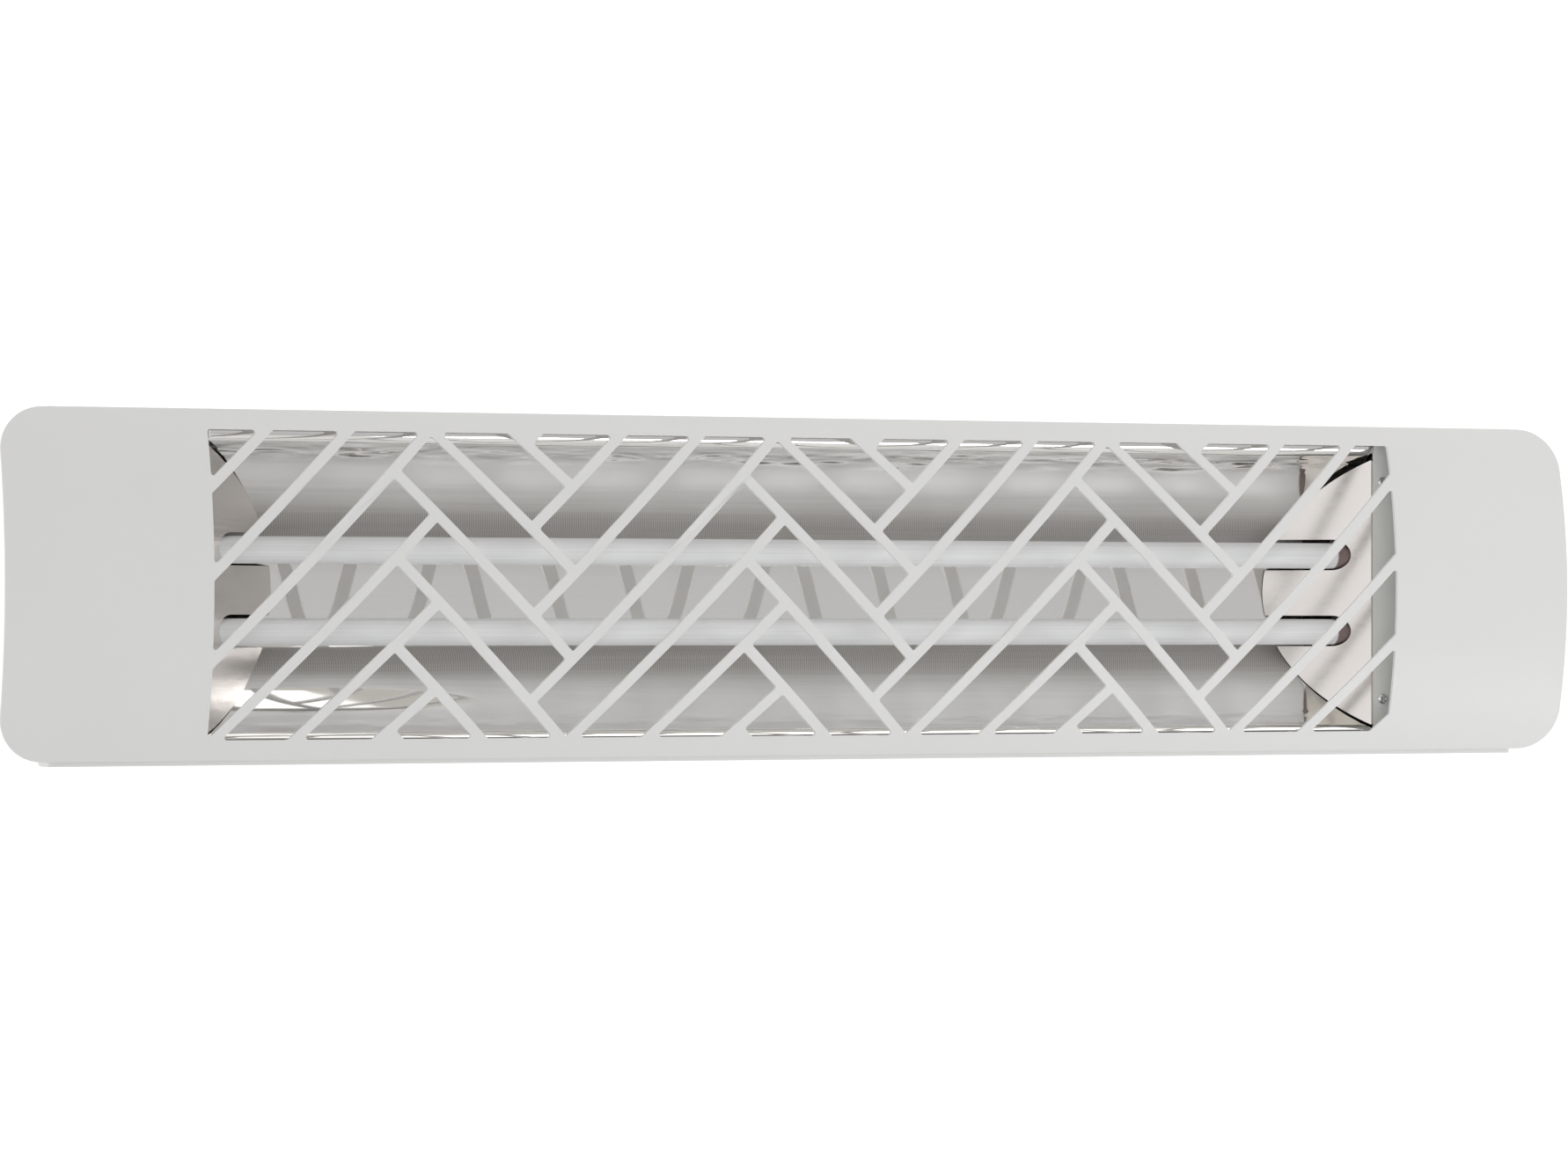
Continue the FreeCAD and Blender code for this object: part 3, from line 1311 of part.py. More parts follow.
def bolt_pair(kind, height, place_y, radius, reach, washer):
    """The same bolt in the left-hand and right-hand brackets, with the nuts and washers of both."""
    nuts = []
    washers = []
    for side_name, side in SIDES:
        name = f"{kind}_bolt_{side_name}"
        bolt, nut, pair = cross_bolt(name, (side * dim("bracket_reach"), place_y, height),
                                     radius, reach, washer)
        node(bolt, name)
        nuts.append(nut)
        washers += pair
    node(group(f"{kind}_nut_set", nuts), f"{kind}_nuts")
    node(group(f"{kind}_washer_set", washers), f"{kind}_washers")


def tilt_hardware():
    """The bolts that the heater turns on, and those that clamp its tilt."""
    half_width = dim("bracket_width") / 2
    bolt_pair("pivot", as_size(0), pivot_y, dim("pivot_radius"), half_width + 0.02, as_size(8.4))
    bolt_pair("clamp", clamp_z, clamp_y, dim("clamp_radius"), half_width + dim("clamp_play"), as_size(7))


def bracket_screws():
    """Hexagon screws that hold the heater brackets to the housing, and their nuts inside it."""
    screws = []
    nuts = []
    head_radius, head_height = SCREW_HEAD
    head_y = seat_y + dim("bracket_gauge") + TOUCH
    nut_y = chassis_y - SCREW_NUT_HEIGHT
    end_y = nut_y - BEYOND
    for number, (x, _) in enumerate(bracket_screw_places()):
        z = as_size(0)
        name = f"bracket_screw_{number}"
        shank = cylinder(name + "_shank", SCREW_RADIUS, head_y - end_y, (x, end_y, z), "Y")
        head = hexagon(name + "_head", as_size(head_radius), as_size(head_height), (x, head_y, z), "Y")
        screws.append(fuse(name, [shank, head]))
        blank = hexagon(name + "_nut_blank", as_size(head_radius), as_size(SCREW_NUT_HEIGHT),
                        (x, nut_y, z), "Y")
        hole = cylinder(name + "_nut_hole", SCREW_RADIUS + THREAD_PLAY, as_size(2 * SCREW_NUT_HEIGHT),
                        (x, nut_y - BEYOND, z), "Y")
        nuts.append(cut(name + "_nut", blank, [hole]))
    node(group("bracket_screw_set", screws), "bracket_screws")
    node(group("bracket_nut_set", nuts), "bracket_nuts")


# ---- the whole heater --------------------------------------------------------------------------

def build():
    faceplate()
    faceplate_fixings()
    housing_shell()
    for side_name, side in SIDES:
        housing_end(side_name, side)
        reflector_end(side_name, side)
        end_cover(side_name, side)
        reflector_support(side_name, side)
        lamp_holder(side_name, side)
        wall_bracket(side_name, side)
        heater_bracket(side_name, side)
    end_screws()
    chassis_rivets()
    reflector()
    cover_screws()
    lamps()
    lamp_terminals()
    lamp_clips()
    terminal_block()
    leads()
    earth_stud()
    cable_gland()
    tilt_hardware()
    bracket_screws()
    doc.recompute()


def check():
    """Stops on any object that failed, any empty or invalid shape, and any pocket that cut nothing."""
    faults = [f"{item.Name}: {item.State}" for item in doc.Objects
              if "Invalid" in item.State or "Error" in item.State]
    for item in doc.Objects:
        if item.TypeId == "PartDesign::Pocket":
            if item.Shape.Volume >= item.BaseFeature.Shape.Volume - 1e-6:
                faults.append(f"{item.Name}: cuts nothing")
    for piece in nodes:
        if piece.Shape.isNull() or not piece.Shape.isValid() or not piece.Shape.Solids:
            faults.append(f"{piece.Label}: bad shape")
    if faults:
        raise RuntimeError("; ".join(faults))


def write():
    os.makedirs("parts", exist_ok=True)
    for piece in nodes:
        piece.Shape.exportStep(f"parts/{piece.Label}.step")
    print(f"{len(nodes)} sub-parts written")


build()
check()
write()
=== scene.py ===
import json
import math

import bpy
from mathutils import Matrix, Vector, noise

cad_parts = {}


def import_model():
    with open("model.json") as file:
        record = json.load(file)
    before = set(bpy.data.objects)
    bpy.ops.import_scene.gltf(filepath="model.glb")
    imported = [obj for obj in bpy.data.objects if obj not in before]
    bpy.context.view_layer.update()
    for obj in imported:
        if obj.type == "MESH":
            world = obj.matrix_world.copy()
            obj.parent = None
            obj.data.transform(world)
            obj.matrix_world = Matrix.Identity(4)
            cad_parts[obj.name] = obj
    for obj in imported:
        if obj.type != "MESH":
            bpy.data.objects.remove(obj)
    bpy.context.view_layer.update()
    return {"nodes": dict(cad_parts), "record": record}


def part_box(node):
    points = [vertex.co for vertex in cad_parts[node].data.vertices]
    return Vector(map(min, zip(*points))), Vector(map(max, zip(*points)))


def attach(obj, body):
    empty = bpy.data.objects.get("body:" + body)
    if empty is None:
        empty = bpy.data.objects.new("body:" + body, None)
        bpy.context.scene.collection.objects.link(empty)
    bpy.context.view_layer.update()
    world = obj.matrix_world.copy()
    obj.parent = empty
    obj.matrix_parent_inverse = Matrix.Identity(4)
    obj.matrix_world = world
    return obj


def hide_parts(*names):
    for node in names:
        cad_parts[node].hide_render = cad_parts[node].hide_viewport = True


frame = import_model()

# Lengths are in metres, in the part's own frame: +X along the heater, -Y its front, +Z up, wall at Y = 0.

MM = 0.001

# The faceplate's bow: its outside radius and its axis (y, z), and how far under the outside the colour
# turns from the front's to the back's painted light: brighter, for the light the trough throws there.
BOW_RADIUS = 307.55 * MM
BOW_CENTRE = (126.35 * MM, 1.2 * MM)
FRONT_COLOUR_DEPTH = 0.6 * MM
REAR_PAINTED_LIGHT_DEPTH = 1.5 * MM

# The lamps: the painted shadow of the coil on the back of a tube, and where the tube's end turns dark
# brown along X: bare quartz past the white coating, darkened further as painted shade from the end sheets.
COIL_SCALE = 225
COIL_SHADOW = 0.55
COIL_SHADOW_REACH = 5 * MM
COATING_AND_SHADE_REACH = 360 * MM
COATING_AND_SHADE_SHIFT = 4 * MM
COATING_AND_SHADE_EDGE = 1.2 * MM

# The middle of a noise texture's range, where nearly all of it lies.
NOISE_LOW, NOISE_HIGH = 0.3, 0.7


# ---------------------------------------------------------------- node helpers

class Finish:
    """A material on the Principled shader, with short calls for the nodes that the finishes share."""

    def __init__(self, name, metallic=0.0, roughness=0.5, **constants):
        self.material = bpy.data.materials.new(name)
        self.material.use_nodes = True
        self.tree = self.material.node_tree
        self.shader = self.tree.nodes["Principled BSDF"]
        self.shader.inputs["Metallic"].default_value = metallic
        self.shader.inputs["Roughness"].default_value = roughness
        for socket, value in constants.items():
            self.shader.inputs[socket.replace("_", " ")].default_value = value
        self.position = self.node("ShaderNodeTexCoord").outputs["Object"]

    def node(self, kind, **settings):
        made = self.tree.nodes.new(kind)
        for name, value in settings.items():
            setattr(made, name, value)
        return made

    def link(self, source, target):
        """Joins a socket to the target, or gives the target a plain value."""
        if hasattr(source, "links"):
            self.tree.links.new(source, target)
        else:
            target.default_value = source

    def stretched(self, x, y, z, turn=(0, 0, 0)):
        """The object's own coordinates, scaled along each axis."""
        mapping = self.node("ShaderNodeMapping")
        mapping.inputs["Scale"].default_value = (x, y, z)
        mapping.inputs["Rotation"].default_value = [math.radians(angle) for angle in turn]
        self.link(self.position, mapping.inputs["Vector"])
        return mapping.outputs["Vector"]

    def grain(self, scale, vector=None, detail=3.0, roughness=0.55):
        """Noise from 0 to 1, with scale features to a metre."""
        made = self.node("ShaderNodeTexNoise")
        self.link(vector or self.position, made.inputs["Vector"])
        made.inputs["Scale"].default_value = scale
        made.inputs["Detail"].default_value = detail
        made.inputs["Roughness"].default_value = roughness
        return made.outputs["Fac"]

    def remap(self, value, low, high, start=0.0, end=1.0, smooth=False):
        made = self.node("ShaderNodeMapRange", interpolation_type="SMOOTHSTEP" if smooth else "LINEAR")
        self.link(value, made.inputs["Value"])
        for name, given in (("From Min", low), ("From Max", high), ("To Min", start), ("To Max", end)):
            self.link(given, made.inputs[name])
        return made.outputs["Result"]

    def combine(self, first, second, operation="ADD"):
        made = self.node("ShaderNodeMath", operation=operation)
        self.link(first, made.inputs[0])
        self.link(second, made.inputs[1])
        return made.outputs["Value"]

    def blend(self, factor, first, second):
        """The first colour where the factor is 0, the second where it is 1."""
        made = self.node("ShaderNodeMix", data_type="RGBA")
        self.link(factor, made.inputs["Factor"])
        for name, colour in (("A", first), ("B", second)):
            socket = [i for i in made.inputs if i.name == name and i.type == "RGBA"][0]
            self.link(colour if hasattr(colour, "links") else (*colour, 1.0), socket)
        return [o for o in made.outputs if o.type == "RGBA"][0]

    def axis(self, name):
        made = self.node("ShaderNodeSeparateXYZ")
        self.link(self.position, made.inputs["Vector"])
        return made.outputs[name]

    def colour(self, value):
        self.link(value if hasattr(value, "links") else (*value, 1.0), self.shader.inputs["Base Color"])

    def rough(self, pattern, smoothest, roughest, start=NOISE_LOW):
        """Roughness that follows a noise's pattern."""
        scaled = self.remap(pattern, start, NOISE_HIGH, smoothest, roughest)
        self.link(scaled, self.shader.inputs["Roughness"])

    def bump(self, height, depth, strength=1.0):
        """Raises the surface by up to depth metres where height is 1, on top of any bump made before."""
        made = self.node("ShaderNodeBump")
        made.inputs["Distance"].default_value = depth
        made.inputs["Strength"].default_value = strength
        self.link(height, made.inputs["Height"])
        normal = self.shader.inputs["Normal"]
        if normal.links:
            self.link(normal.links[0].from_socket, made.inputs["Normal"])
        self.link(made.outputs["Normal"], normal)


# ---------------------------------------------------------------- finishes

def powder_coat(name, light, dark, rear_painted_lighting=None, roughness=0.42):
    """Baked satin powder: a fine orange peel with faint cloudiness. An optional colour is painted light:
    the faceplate's back, brighter for the light the trough throws on it, told from the front by its
    distance from the middle of the bow."""
    finish = Finish(name, roughness=roughness, Specular_IOR_Level=0.45, Coat_Weight=0.12, Coat_Roughness=0.28)
    clouds = finish.grain(14, detail=4)
    shade = finish.blend(clouds, dark, light)
    # Painted light: the faceplate's back takes the brighter colour, for the light the trough throws on it.
    if rear_painted_lighting:
        squares = []
        for letter, centre in zip("YZ", BOW_CENTRE):
            away = finish.combine(finish.axis(letter), centre, "SUBTRACT")
            squares.append(finish.combine(away, away, "MULTIPLY"))
        limits = [(BOW_RADIUS - under) ** 2 for under in (REAR_PAINTED_LIGHT_DEPTH, FRONT_COLOUR_DEPTH)]
        shade = finish.blend(finish.remap(finish.combine(*squares), *limits), rear_painted_lighting, shade)
    finish.colour(shade)
    finish.rough(finish.grain(160, detail=5), roughness - 0.05, roughness + 0.05)
    finish.bump(finish.grain(420, detail=2), 0.05 * MM, 0.5)
    finish.bump(finish.grain(2400, detail=1), 0.008 * MM, 0.5)
    return finish.material


def mirror_sheet():
    """Mirror-bright aluminium with faint rolling lines along X."""
    finish = Finish("mirror_sheet", metallic=1.0, roughness=0.03)
    lines = finish.grain(1, finish.stretched(6, 1400, 1400), detail=4, roughness=0.7)
    haze = finish.grain(30, detail=5, roughness=0.6)
    clouded = finish.combine(lines, haze, "MULTIPLY")
    finish.colour(finish.blend(clouded, (0.86, 0.845, 0.825), (0.955, 0.945, 0.93)))
    finish.rough(haze, 0.02, 0.06, start=0.35)
    finish.bump(lines, 0.0015 * MM, 0.5)
    return finish.material


def brushed(name, light, dark, roughness, grain=(0.02, 0.02, 1)):
    """Sheet metal with a fine grain along the axes where grain is small."""
    finish = Finish(name, metallic=1.0, roughness=roughness)
    lines = finish.grain(2200, finish.stretched(*grain), detail=3, roughness=0.6)
    smears = finish.grain(18, detail=5, roughness=0.6)
    both = finish.combine(lines, smears)
    finish.colour(finish.blend(finish.combine(both, 0.5, "MULTIPLY"), dark, light))
    finish.rough(lines, roughness - 0.05, roughness + 0.06)
    finish.bump(lines, 0.004 * MM, 0.6)
    return finish.material


def cover_sheet():
    """Pale grey painted sheet: satin, even, with a faint bloom."""
    finish = Finish("cover_sheet", roughness=0.5)
    bloom = finish.grain(70, detail=6, roughness=0.65)
    finish.colour(finish.blend(bloom, (0.88, 0.885, 0.86), (0.93, 0.935, 0.91)))
    finish.rough(bloom, 0.42, 0.56)
    finish.bump(finish.grain(1300, detail=2), 0.01 * MM, 0.5)
    return finish.material


def opal_quartz():
    """Satin white quartz: drawing lines along the tube, a painted shadow of the coil turns on the back half,
    and dark brownish ends where the tube runs into its caps: partly bare quartz, partly painted shade."""
    finish = Finish("quartz", roughness=0.45, Specular_IOR_Level=0.35)
    lines = finish.grain(1, finish.stretched(7, 1100, 1100), detail=4, roughness=0.65)
    streaks = finish.remap(lines, NOISE_LOW, NOISE_HIGH)
    white = finish.blend(streaks, (0.80, 0.81, 0.825), (0.93, 0.935, 0.945))
    # Painted shadow: dark bands of the coil turns on the back half of each tube, where the coil shades it.
    coil = finish.node("ShaderNodeTexWave", wave_type="BANDS", bands_direction="X")
    finish.link(finish.position, coil.inputs["Vector"])
    coil.inputs["Scale"].default_value = COIL_SCALE
    lamp_y = (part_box("lamp_tube_upper")[0].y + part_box("lamp_tube_upper")[1].y) / 2
    rear_painted_lighting = finish.remap(finish.axis("Y"), lamp_y, lamp_y + COIL_SHADOW_REACH, 0.0, COIL_SHADOW, smooth=True)
    white = finish.blend(finish.combine(coil.outputs["Fac"], rear_painted_lighting, "MULTIPLY"), white, (0.42, 0.39, 0.37))
    # Partly painted shade: the ends past the coating turn dark brown, for the bare quartz and for the shadow
    # the end sheets cast on them.
    along = finish.combine(finish.combine(finish.axis("X"), COATING_AND_SHADE_SHIFT), 0.0, "ABSOLUTE")
    bare_and_shaded_end = finish.remap(along, COATING_AND_SHADE_REACH, COATING_AND_SHADE_REACH + COATING_AND_SHADE_EDGE, smooth=True)
    finish.colour(finish.blend(bare_and_shaded_end, white, (0.24, 0.18, 0.17)))
    finish.rough(lines, 0.38, 0.52)
    finish.bump(lines, 0.01 * MM, 0.4)
    return finish.material


def ceramic():
    """Cream ceramic: matt and faintly speckled."""
    finish = Finish("ceramic", roughness=0.62)
    specks = finish.grain(900, detail=4)
    finish.colour(finish.blend(specks, (0.78, 0.74, 0.66), (0.92, 0.90, 0.85)))
    finish.bump(finish.grain(1400, detail=3), 0.03 * MM, 0.7)
    return finish.material


def plated(name, light, dark, roughness):
    """Plated or bright metal: soft blotches in the plating and fine scratches."""
    finish = Finish(name, metallic=1.0, roughness=roughness)
    blotches = finish.grain(260, detail=4)
    finish.colour(finish.blend(blotches, dark, light))
    finish.rough(blotches, roughness * 0.7, roughness * 1.3)
    finish.bump(finish.grain(3000, detail=2), 0.01 * MM, 0.5)
    return finish.material


def moulded(name, light, dark, roughness=0.55):
    """Moulded plastic or rubber, with its fine spark-eroded texture."""
    finish = Finish(name, roughness=roughness)
    finish.colour(finish.blend(finish.grain(60, detail=3), dark, light))
    finish.rough(finish.grain(700, detail=3), roughness - 0.08, roughness + 0.08)
    finish.bump(finish.grain(1800, detail=2), 0.03 * MM, 0.6)
    return finish.material


def braid():
    """Glass-fibre sleeving: two sets of fine diagonal threads."""
    finish = Finish("lead_jacket", roughness=0.7)
    waves = []
    for turn in (45, -45):
        wave = finish.node("ShaderNodeTexWave", wave_type="BANDS", bands_direction="X")
        finish.link(finish.stretched(1, 1, 1, (turn, turn, turn)), wave.inputs["Vector"])
        wave.inputs["Scale"].default_value = 420
        waves.append(wave.outputs["Fac"])
    threads = finish.combine(waves[0], waves[1], "MAXIMUM")
    finish.colour(finish.blend(threads, (0.62, 0.58, 0.50), (0.86, 0.83, 0.77)))
    finish.bump(threads, 0.15 * MM, 0.8)
    return finish.material


FINISHES = {
    # The plate's last colour is painted light: its back is brighter, for the light the trough throws there.
    "plate_paint": powder_coat("plate_paint", (0.79, 0.79, 0.79), (0.77, 0.77, 0.77), (0.95, 0.95, 0.945)),
    "housing_paint": powder_coat("housing_paint", (0.80, 0.80, 0.795), (0.78, 0.78, 0.775)),
    "bracket_paint": powder_coat("bracket_paint", (0.78, 0.78, 0.775), (0.75, 0.75, 0.745)),
    "mirror_sheet": mirror_sheet(),
    "end_sheet": brushed("end_sheet", (0.80, 0.765, 0.74), (0.70, 0.66, 0.635), 0.2),
    "cover_sheet": cover_sheet(),
    "inner_sheet": brushed("inner_sheet", (0.66, 0.66, 0.65), (0.55, 0.55, 0.54), 0.38, (1, 0.02, 0.02)),
    "quartz": opal_quartz(),
    "coil_wire": plated("coil_wire", (0.42, 0.39, 0.36), (0.28, 0.26, 0.25), 0.45),
    "ceramic": ceramic(),
    "terminal_brass": plated("terminal_brass", (0.80, 0.64, 0.34), (0.66, 0.50, 0.25), 0.3),
    "spring_steel": plated("spring_steel", (0.66, 0.66, 0.67), (0.52, 0.52, 0.53), 0.3),
    "screw_steel": plated("screw_steel", (0.80, 0.80, 0.80), (0.64, 0.64, 0.64), 0.2),
    "zinc_steel": plated("zinc_steel", (0.72, 0.73, 0.74), (0.58, 0.59, 0.61), 0.33),
    "terminal_plastic": moulded("terminal_plastic", (0.82, 0.80, 0.74), (0.74, 0.72, 0.66)),
    "lead_jacket": braid(),
    "gland_plastic": moulded("gland_plastic", (0.060, 0.061, 0.063), (0.045, 0.045, 0.047)),
    "gland_rubber": moulded("gland_rubber", (0.028, 0.028, 0.028), (0.018, 0.018, 0.018), 0.75),
}


def paint_cad_nodes():
    """Gives each CAD node the finish that its record's row names."""
    for row in frame["record"]["subparts"]:
        materials = frame["nodes"][row["node"]].data.materials
        materials.clear()
        materials.append(FINISHES[row["material_slot"]])


# ---------------------------------------------------------------- reflector

TROUGH_RADIUS = 102 * MM
TROUGH_HALF = 81.5 * MM
LIP_ROLL = 8 * MM
MIRROR_GAUGE = 0.8 * MM
SHEET_COLUMN = 3.0 * MM
COARSE_STEP = 1.4 * MM
FINE_STEP = 0.4 * MM
ROUNDING = 1e-6
BEHIND_THE_FACES = -1.0

# The sheet's unevenness: how far each kind stands off, and where. It fades out towards the sheet's edges.
BROAD_WAVES = 0.03 * MM
MIDDLING_WAVES = 0.003 * MM
BUCKLES_ABOVE = 0.36 * MM
BUCKLES_BELOW = 0.10 * MM
CREASES = 0.4
BUCKLE_START = 73 * MM
BUCKLE_MIDDLE = 77.5 * MM
BUCKLE_REACH = 6.5 * MM
HOLLOW_DEPTH = 1.2 * MM
HOLLOW_PLACE = (-310 * MM, -51 * MM)
HOLLOW_REACH = (140 * MM, 15.5 * MM)
DENT_FADE = 8 * MM


def trough_section(bottom_y, tip):
    """Points (y, z, angle of the normal) on the trough's front, from its middle up to one flange's tip."""
    centre_y = bottom_y - TROUGH_RADIUS
    points = []
    angle = 0.0
    end = math.asin(TROUGH_HALF / TROUGH_RADIUS)
    while angle < end - ROUNDING:
        points.append((centre_y + TROUGH_RADIUS * math.cos(angle), TROUGH_RADIUS * math.sin(angle), angle))
        step = COARSE_STEP if TROUGH_RADIUS * math.sin(angle) < BUCKLE_START else FINE_STEP
        angle += step / TROUGH_RADIUS
    roll_y = centre_y + (TROUGH_RADIUS + LIP_ROLL) * math.cos(end)
    roll_z = (TROUGH_RADIUS + LIP_ROLL) * math.sin(end)
    turns = math.ceil(LIP_ROLL * end / FINE_STEP)
    for turn in range(turns + 1):
        angle = end * (1 - turn / turns)
        points.append((roll_y - LIP_ROLL * math.cos(angle), roll_z - LIP_ROLL * math.sin(angle), angle))
    points.append((roll_y - LIP_ROLL, tip, 0.0))
    return points


def dent(x, z):
    """How far the rolled sheet stands off its true shape: broad waves, short buckles by the lips, and a long
    soft hollow low down by the left end. Each noise has its features to a metre along X and Z, and its own
    slice of the pattern."""
    broad = noise.noise(Vector((x * 7, z * 24, 3.1)))
    middling = noise.noise(Vector((x * 26, z * 70, 8.7)))
    buckle = noise.noise(Vector((x * 30, z * 260, 5.3 if z > 0 else 1.9)))
    creases = noise.noise(Vector((x * 75, z * 520, 6.1 if z > 0 else 2.4)))
    near_lip = max(0.0, 1 - abs(abs(z) - BUCKLE_MIDDLE) / BUCKLE_REACH)
    buckling = near_lip * (BUCKLES_ABOVE if z > 0 else BUCKLES_BELOW)
    along, up = [(place - middle) / reach for place, middle, reach in zip((x, z), HOLLOW_PLACE, HOLLOW_REACH)]
    hollow = HOLLOW_DEPTH * math.exp(-along * along - up * up)
    return BROAD_WAVES * broad + MIDDLING_WAVES * middling + buckling * (buckle + CREASES * creases) + hollow


def reflector():
    """The polished trough, as rolled sheet with its unevenness, in place of the CAD's smooth one."""
    low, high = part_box("reflector")
    half = trough_section(high.y - MIRROR_GAUGE, high.z)
    section = [(y, -z, -angle) for y, z, angle in reversed(half[1:])] + half
    columns = math.ceil((high.x - low.x) / SHEET_COLUMN)
    rows = len(section)
    places = []
    for column in range(columns + 1):
        x = low.x + (high.x - low.x) * column / columns
        for y, z, angle in section:
            edge = min(x - low.x, high.x - x, high.z - abs(z))
            off = dent(x, z) * min(1.0, edge / DENT_FADE)
            places.append((x, y - off * math.cos(angle), z - off * math.sin(angle)))
    corners = [column * rows + row for column in range(columns) for row in range(rows - 1)]
    faces = [(corner, corner + rows, corner + rows + 1, corner + 1) for corner in corners]
    mesh = bpy.data.meshes.new("reflector_mirror")
    mesh.from_pydata(places, [], faces)
    mesh.shade_smooth()
    mesh.materials.append(FINISHES["mirror_sheet"])
    made = bpy.data.objects.new("reflector_mirror", mesh)
    bpy.context.scene.collection.objects.link(made)
    gauge = made.modifiers.new("gauge", "SOLIDIFY")
    gauge.thickness = MIRROR_GAUGE
    gauge.offset = BEHIND_THE_FACES
    gauge.use_even_offset = True
    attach(made, "heater")
    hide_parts("reflector")


# ---------------------------------------------------------------- room, light and camera

FLOOR_DROP = 0.55
FLOOR_RADIUS = 1.9
FLOOR_SIDES = 96
FLOOR_FADE = (0.4 * FLOOR_RADIUS, 0.98 * FLOOR_RADIUS)

# The studio's light by direction, as a unit vector. Levels by height are (half of Z plus a half, light), the
# factor by side is (X from, X to, factor from, factor to), and the rear level takes over between two Ys.
BACKDROP = (1.12, 1.12, 1.12)
REAR_LEVEL = (0.82, 0.82, 0.82)
REAR_FADE = (-0.2, 0.4)
SIDE_FACTOR = (-0.9, 0.3, 1.75, 0.9)
STUDIO_LEVELS = (
    (0.0, (0.46, 0.46, 0.46)), (0.32, (0.54, 0.54, 0.54)), (0.45, (0.61, 0.61, 0.61)),
    (0.66, (0.62, 0.62, 0.62)), (0.70, (0.16, 0.16, 0.16)), (0.75, (0.16, 0.16, 0.16)),
    (0.80, (0.62, 0.61, 0.57)), (1.0, (0.56, 0.55, 0.51)),
)
CAMERA_PLACE = (-1.4343, -3.3185, -0.0231)
CAMERA_HEADING = 24.1
CAMERA_PITCH = 0.39
SENSOR_WIDTH = 36.0
LENS = 135.95
CLIP_NEAR = 0.05
CLIP_FAR = 60.0


def camera():
    data = bpy.data.cameras.new("camera")
    data.sensor_width = SENSOR_WIDTH
    data.lens = LENS
    data.clip_start = CLIP_NEAR
    data.clip_end = CLIP_FAR
    made = bpy.data.objects.new("camera", data)
    made.location = CAMERA_PLACE
    made.rotation_euler = (math.radians(90 + CAMERA_PITCH), 0, math.radians(-CAMERA_HEADING))
    bpy.context.scene.collection.objects.link(made)
    bpy.context.scene.camera = made


def floor():
    """A round of pale paper under the heater, fading out at its rim."""
    mesh = bpy.data.meshes.new("floor")
    turns = [math.tau * side / FLOOR_SIDES for side in range(FLOOR_SIDES)]
    rim = [(FLOOR_RADIUS * math.cos(turn), FLOOR_RADIUS * math.sin(turn), 0) for turn in turns]
    mesh.from_pydata(rim, [], [tuple(range(FLOOR_SIDES))])
    made = bpy.data.objects.new("floor", mesh)
    made.location = (0, 0, -FLOOR_DROP)
    bpy.context.scene.collection.objects.link(made)
    finish = Finish("floor_paper", roughness=0.9)
    finish.colour(finish.blend(finish.grain(3), (0.88, 0.88, 0.88), (0.91, 0.91, 0.91)))
    reach = finish.node("ShaderNodeVectorMath", operation="LENGTH")
    finish.link(finish.position, reach.inputs[0])
    fade = finish.remap(reach.outputs["Value"], *FLOOR_FADE, 1.0, 0.0, smooth=True)
    finish.link(fade, finish.shader.inputs["Alpha"])
    mesh.materials.append(finish.material)


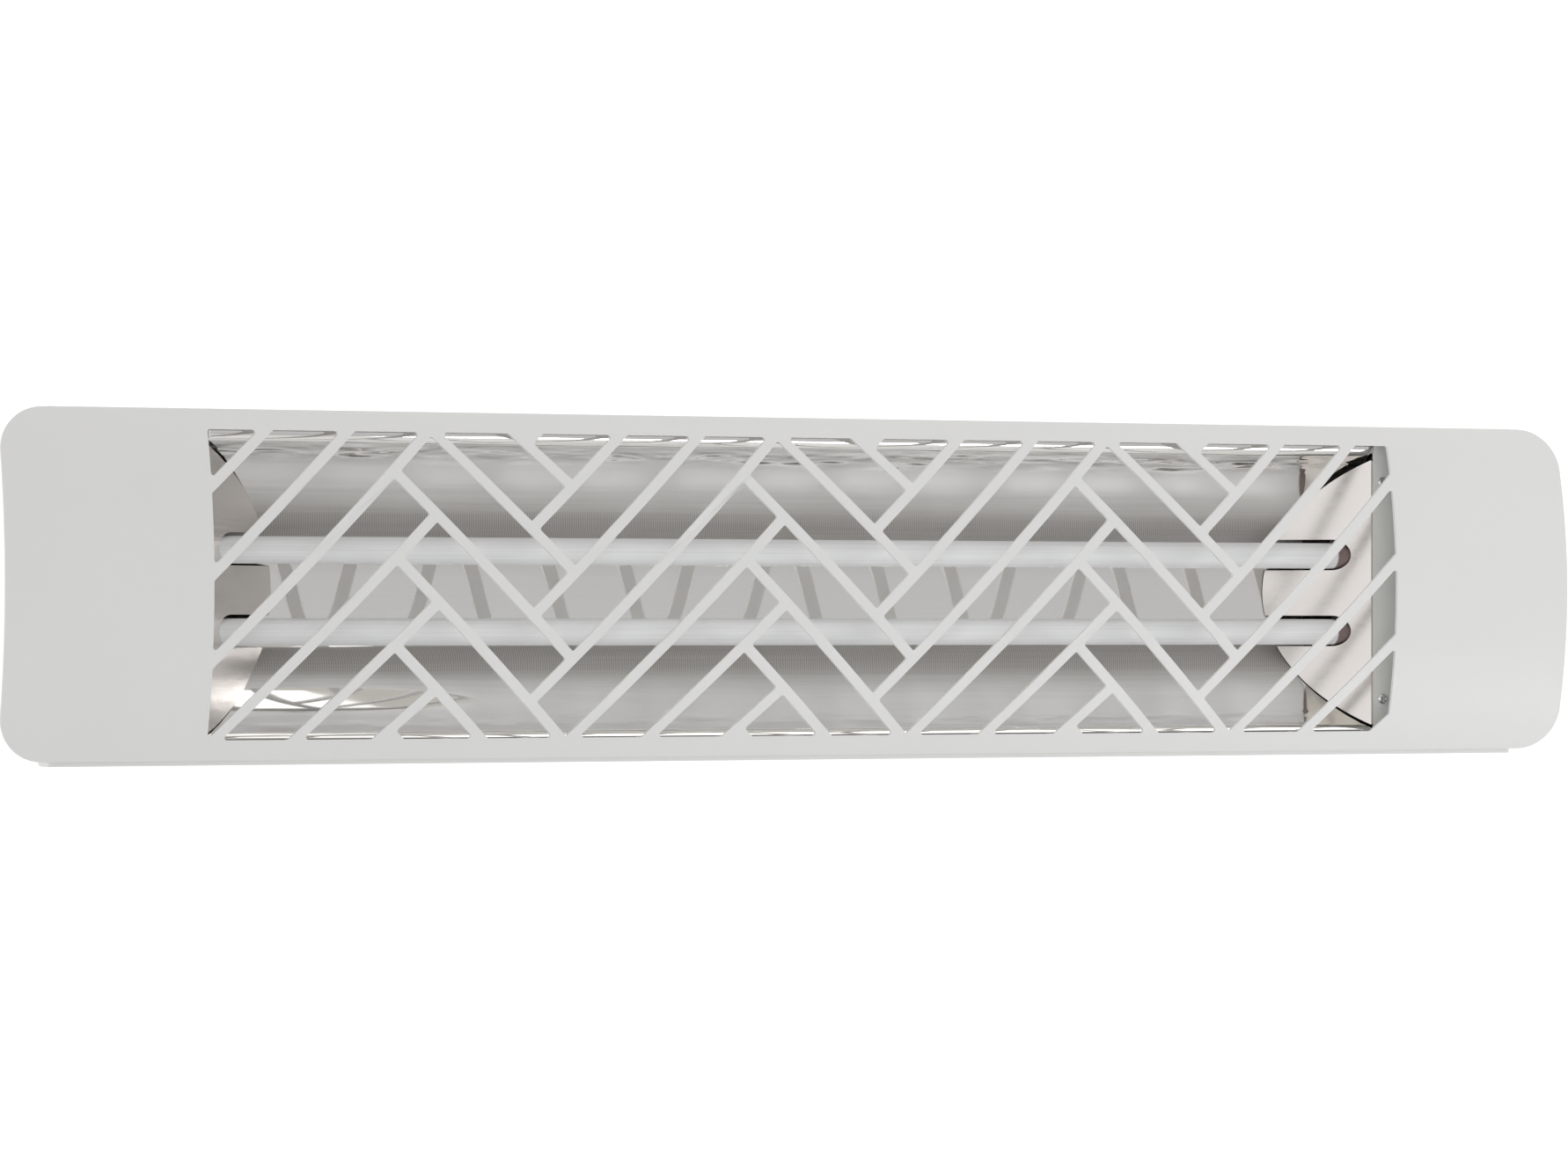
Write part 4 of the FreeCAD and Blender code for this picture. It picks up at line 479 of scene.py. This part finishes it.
def world():
    """A studio with a white backdrop. Its light is soft grey, brighter to the left, warmer overhead."""
    made = bpy.data.worlds.new("studio")
    made.use_nodes = True
    tree = made.node_tree

    def ramp(source, low, high, start, end):
        scaled = tree.nodes.new("ShaderNodeMapRange")
        tree.links.new(source, scaled.inputs["Value"])
        for name, value in (("From Min", low), ("From Max", high), ("To Min", start), ("To Max", end)):
            scaled.inputs[name].default_value = value
        return scaled.outputs["Result"]

    place = tree.nodes.new("ShaderNodeTexCoord")
    split = tree.nodes.new("ShaderNodeSeparateXYZ")
    tree.links.new(place.outputs["Generated"], split.inputs[0])
    levels = tree.nodes.new("ShaderNodeValToRGB")
    tree.links.new(ramp(split.outputs["Z"], -1.0, 1.0, 0.0, 1.0), levels.inputs["Fac"])
    stops = levels.color_ramp.elements
    stops[1].position = STUDIO_LEVELS[-1][0]
    for position, _ in STUDIO_LEVELS[1:-1]:
        stops.new(position)
    for stop, (_, shade) in zip(stops, STUDIO_LEVELS):
        stop.color = (*shade, 1.0)
    lit = tree.nodes.new("ShaderNodeVectorMath")
    lit.operation = "SCALE"
    tree.links.new(levels.outputs["Color"], lit.inputs[0])
    tree.links.new(ramp(split.outputs["X"], *SIDE_FACTOR), lit.inputs["Scale"])

    def blend(factor, first, second):
        mix = tree.nodes.new("ShaderNodeMix")
        mix.data_type = "VECTOR"
        pair = [socket for socket in mix.inputs if socket.type == "VECTOR" and socket.name in ("A", "B")]
        tree.links.new(factor, mix.inputs["Factor"])
        tree.links.new(first, pair[0])
        pair[1].default_value = second
        return [socket for socket in mix.outputs if socket.type == "VECTOR"][0]

    light = blend(ramp(split.outputs["Y"], *REAR_FADE, 0.0, 1.0), lit.outputs["Vector"], REAR_LEVEL)
    seen = tree.nodes.new("ShaderNodeLightPath").outputs["Is Camera Ray"]
    tree.links.new(blend(seen, light, BACKDROP), tree.nodes["Background"].inputs["Color"])
    bpy.context.scene.world = made


def softbox(name, place, aim, width, height, power, colour=(1.0, 1.0, 1.0)):
    """A rectangular light that faces aim from place."""
    data = bpy.data.lights.new(name, "AREA")
    data.shape = "RECTANGLE"
    data.size = width
    data.size_y = height
    data.energy = power
    data.color = colour
    made = bpy.data.objects.new(name, data)
    made.location = place
    made.rotation_euler = (Vector(aim) - Vector(place)).to_track_quat("-Z", "Y").to_euler()
    bpy.context.scene.collection.objects.link(made)


def lights():
    softbox("key_light", (1.5, -2.0, 2.1), (0.2, -0.1, 0), 1.6, 0.9, 5.5)
    softbox("left_light", (-3.2, -1.1, 0.1), (0, -0.1, 0), 1.4, 1.2, 9, (0.96, 0.98, 1.0))
    softbox("low_light", (1.5, -2.3, -1.1), (0.3, -0.1, 0), 1.6, 0.5, 16)
    softbox("right_light", (2.3, -2.4, 0.3), (-0.3, -0.1, 0), 0.5, 1.2, 2)
    softbox("side_light", (3.2, -0.6, 0.75), (-0.4, -0.13, -0.07), 0.5, 0.6, 13)
    softbox("top_light", (0.2, 0.2, 2.8), (0, 0.2, -0.5), 3.4, 1.2, 10)


# ---------------------------------------------------------------- build

paint_cad_nodes()
reflector()
camera()
floor()
world()
lights()
bpy.context.scene.view_settings.view_transform = "Standard"
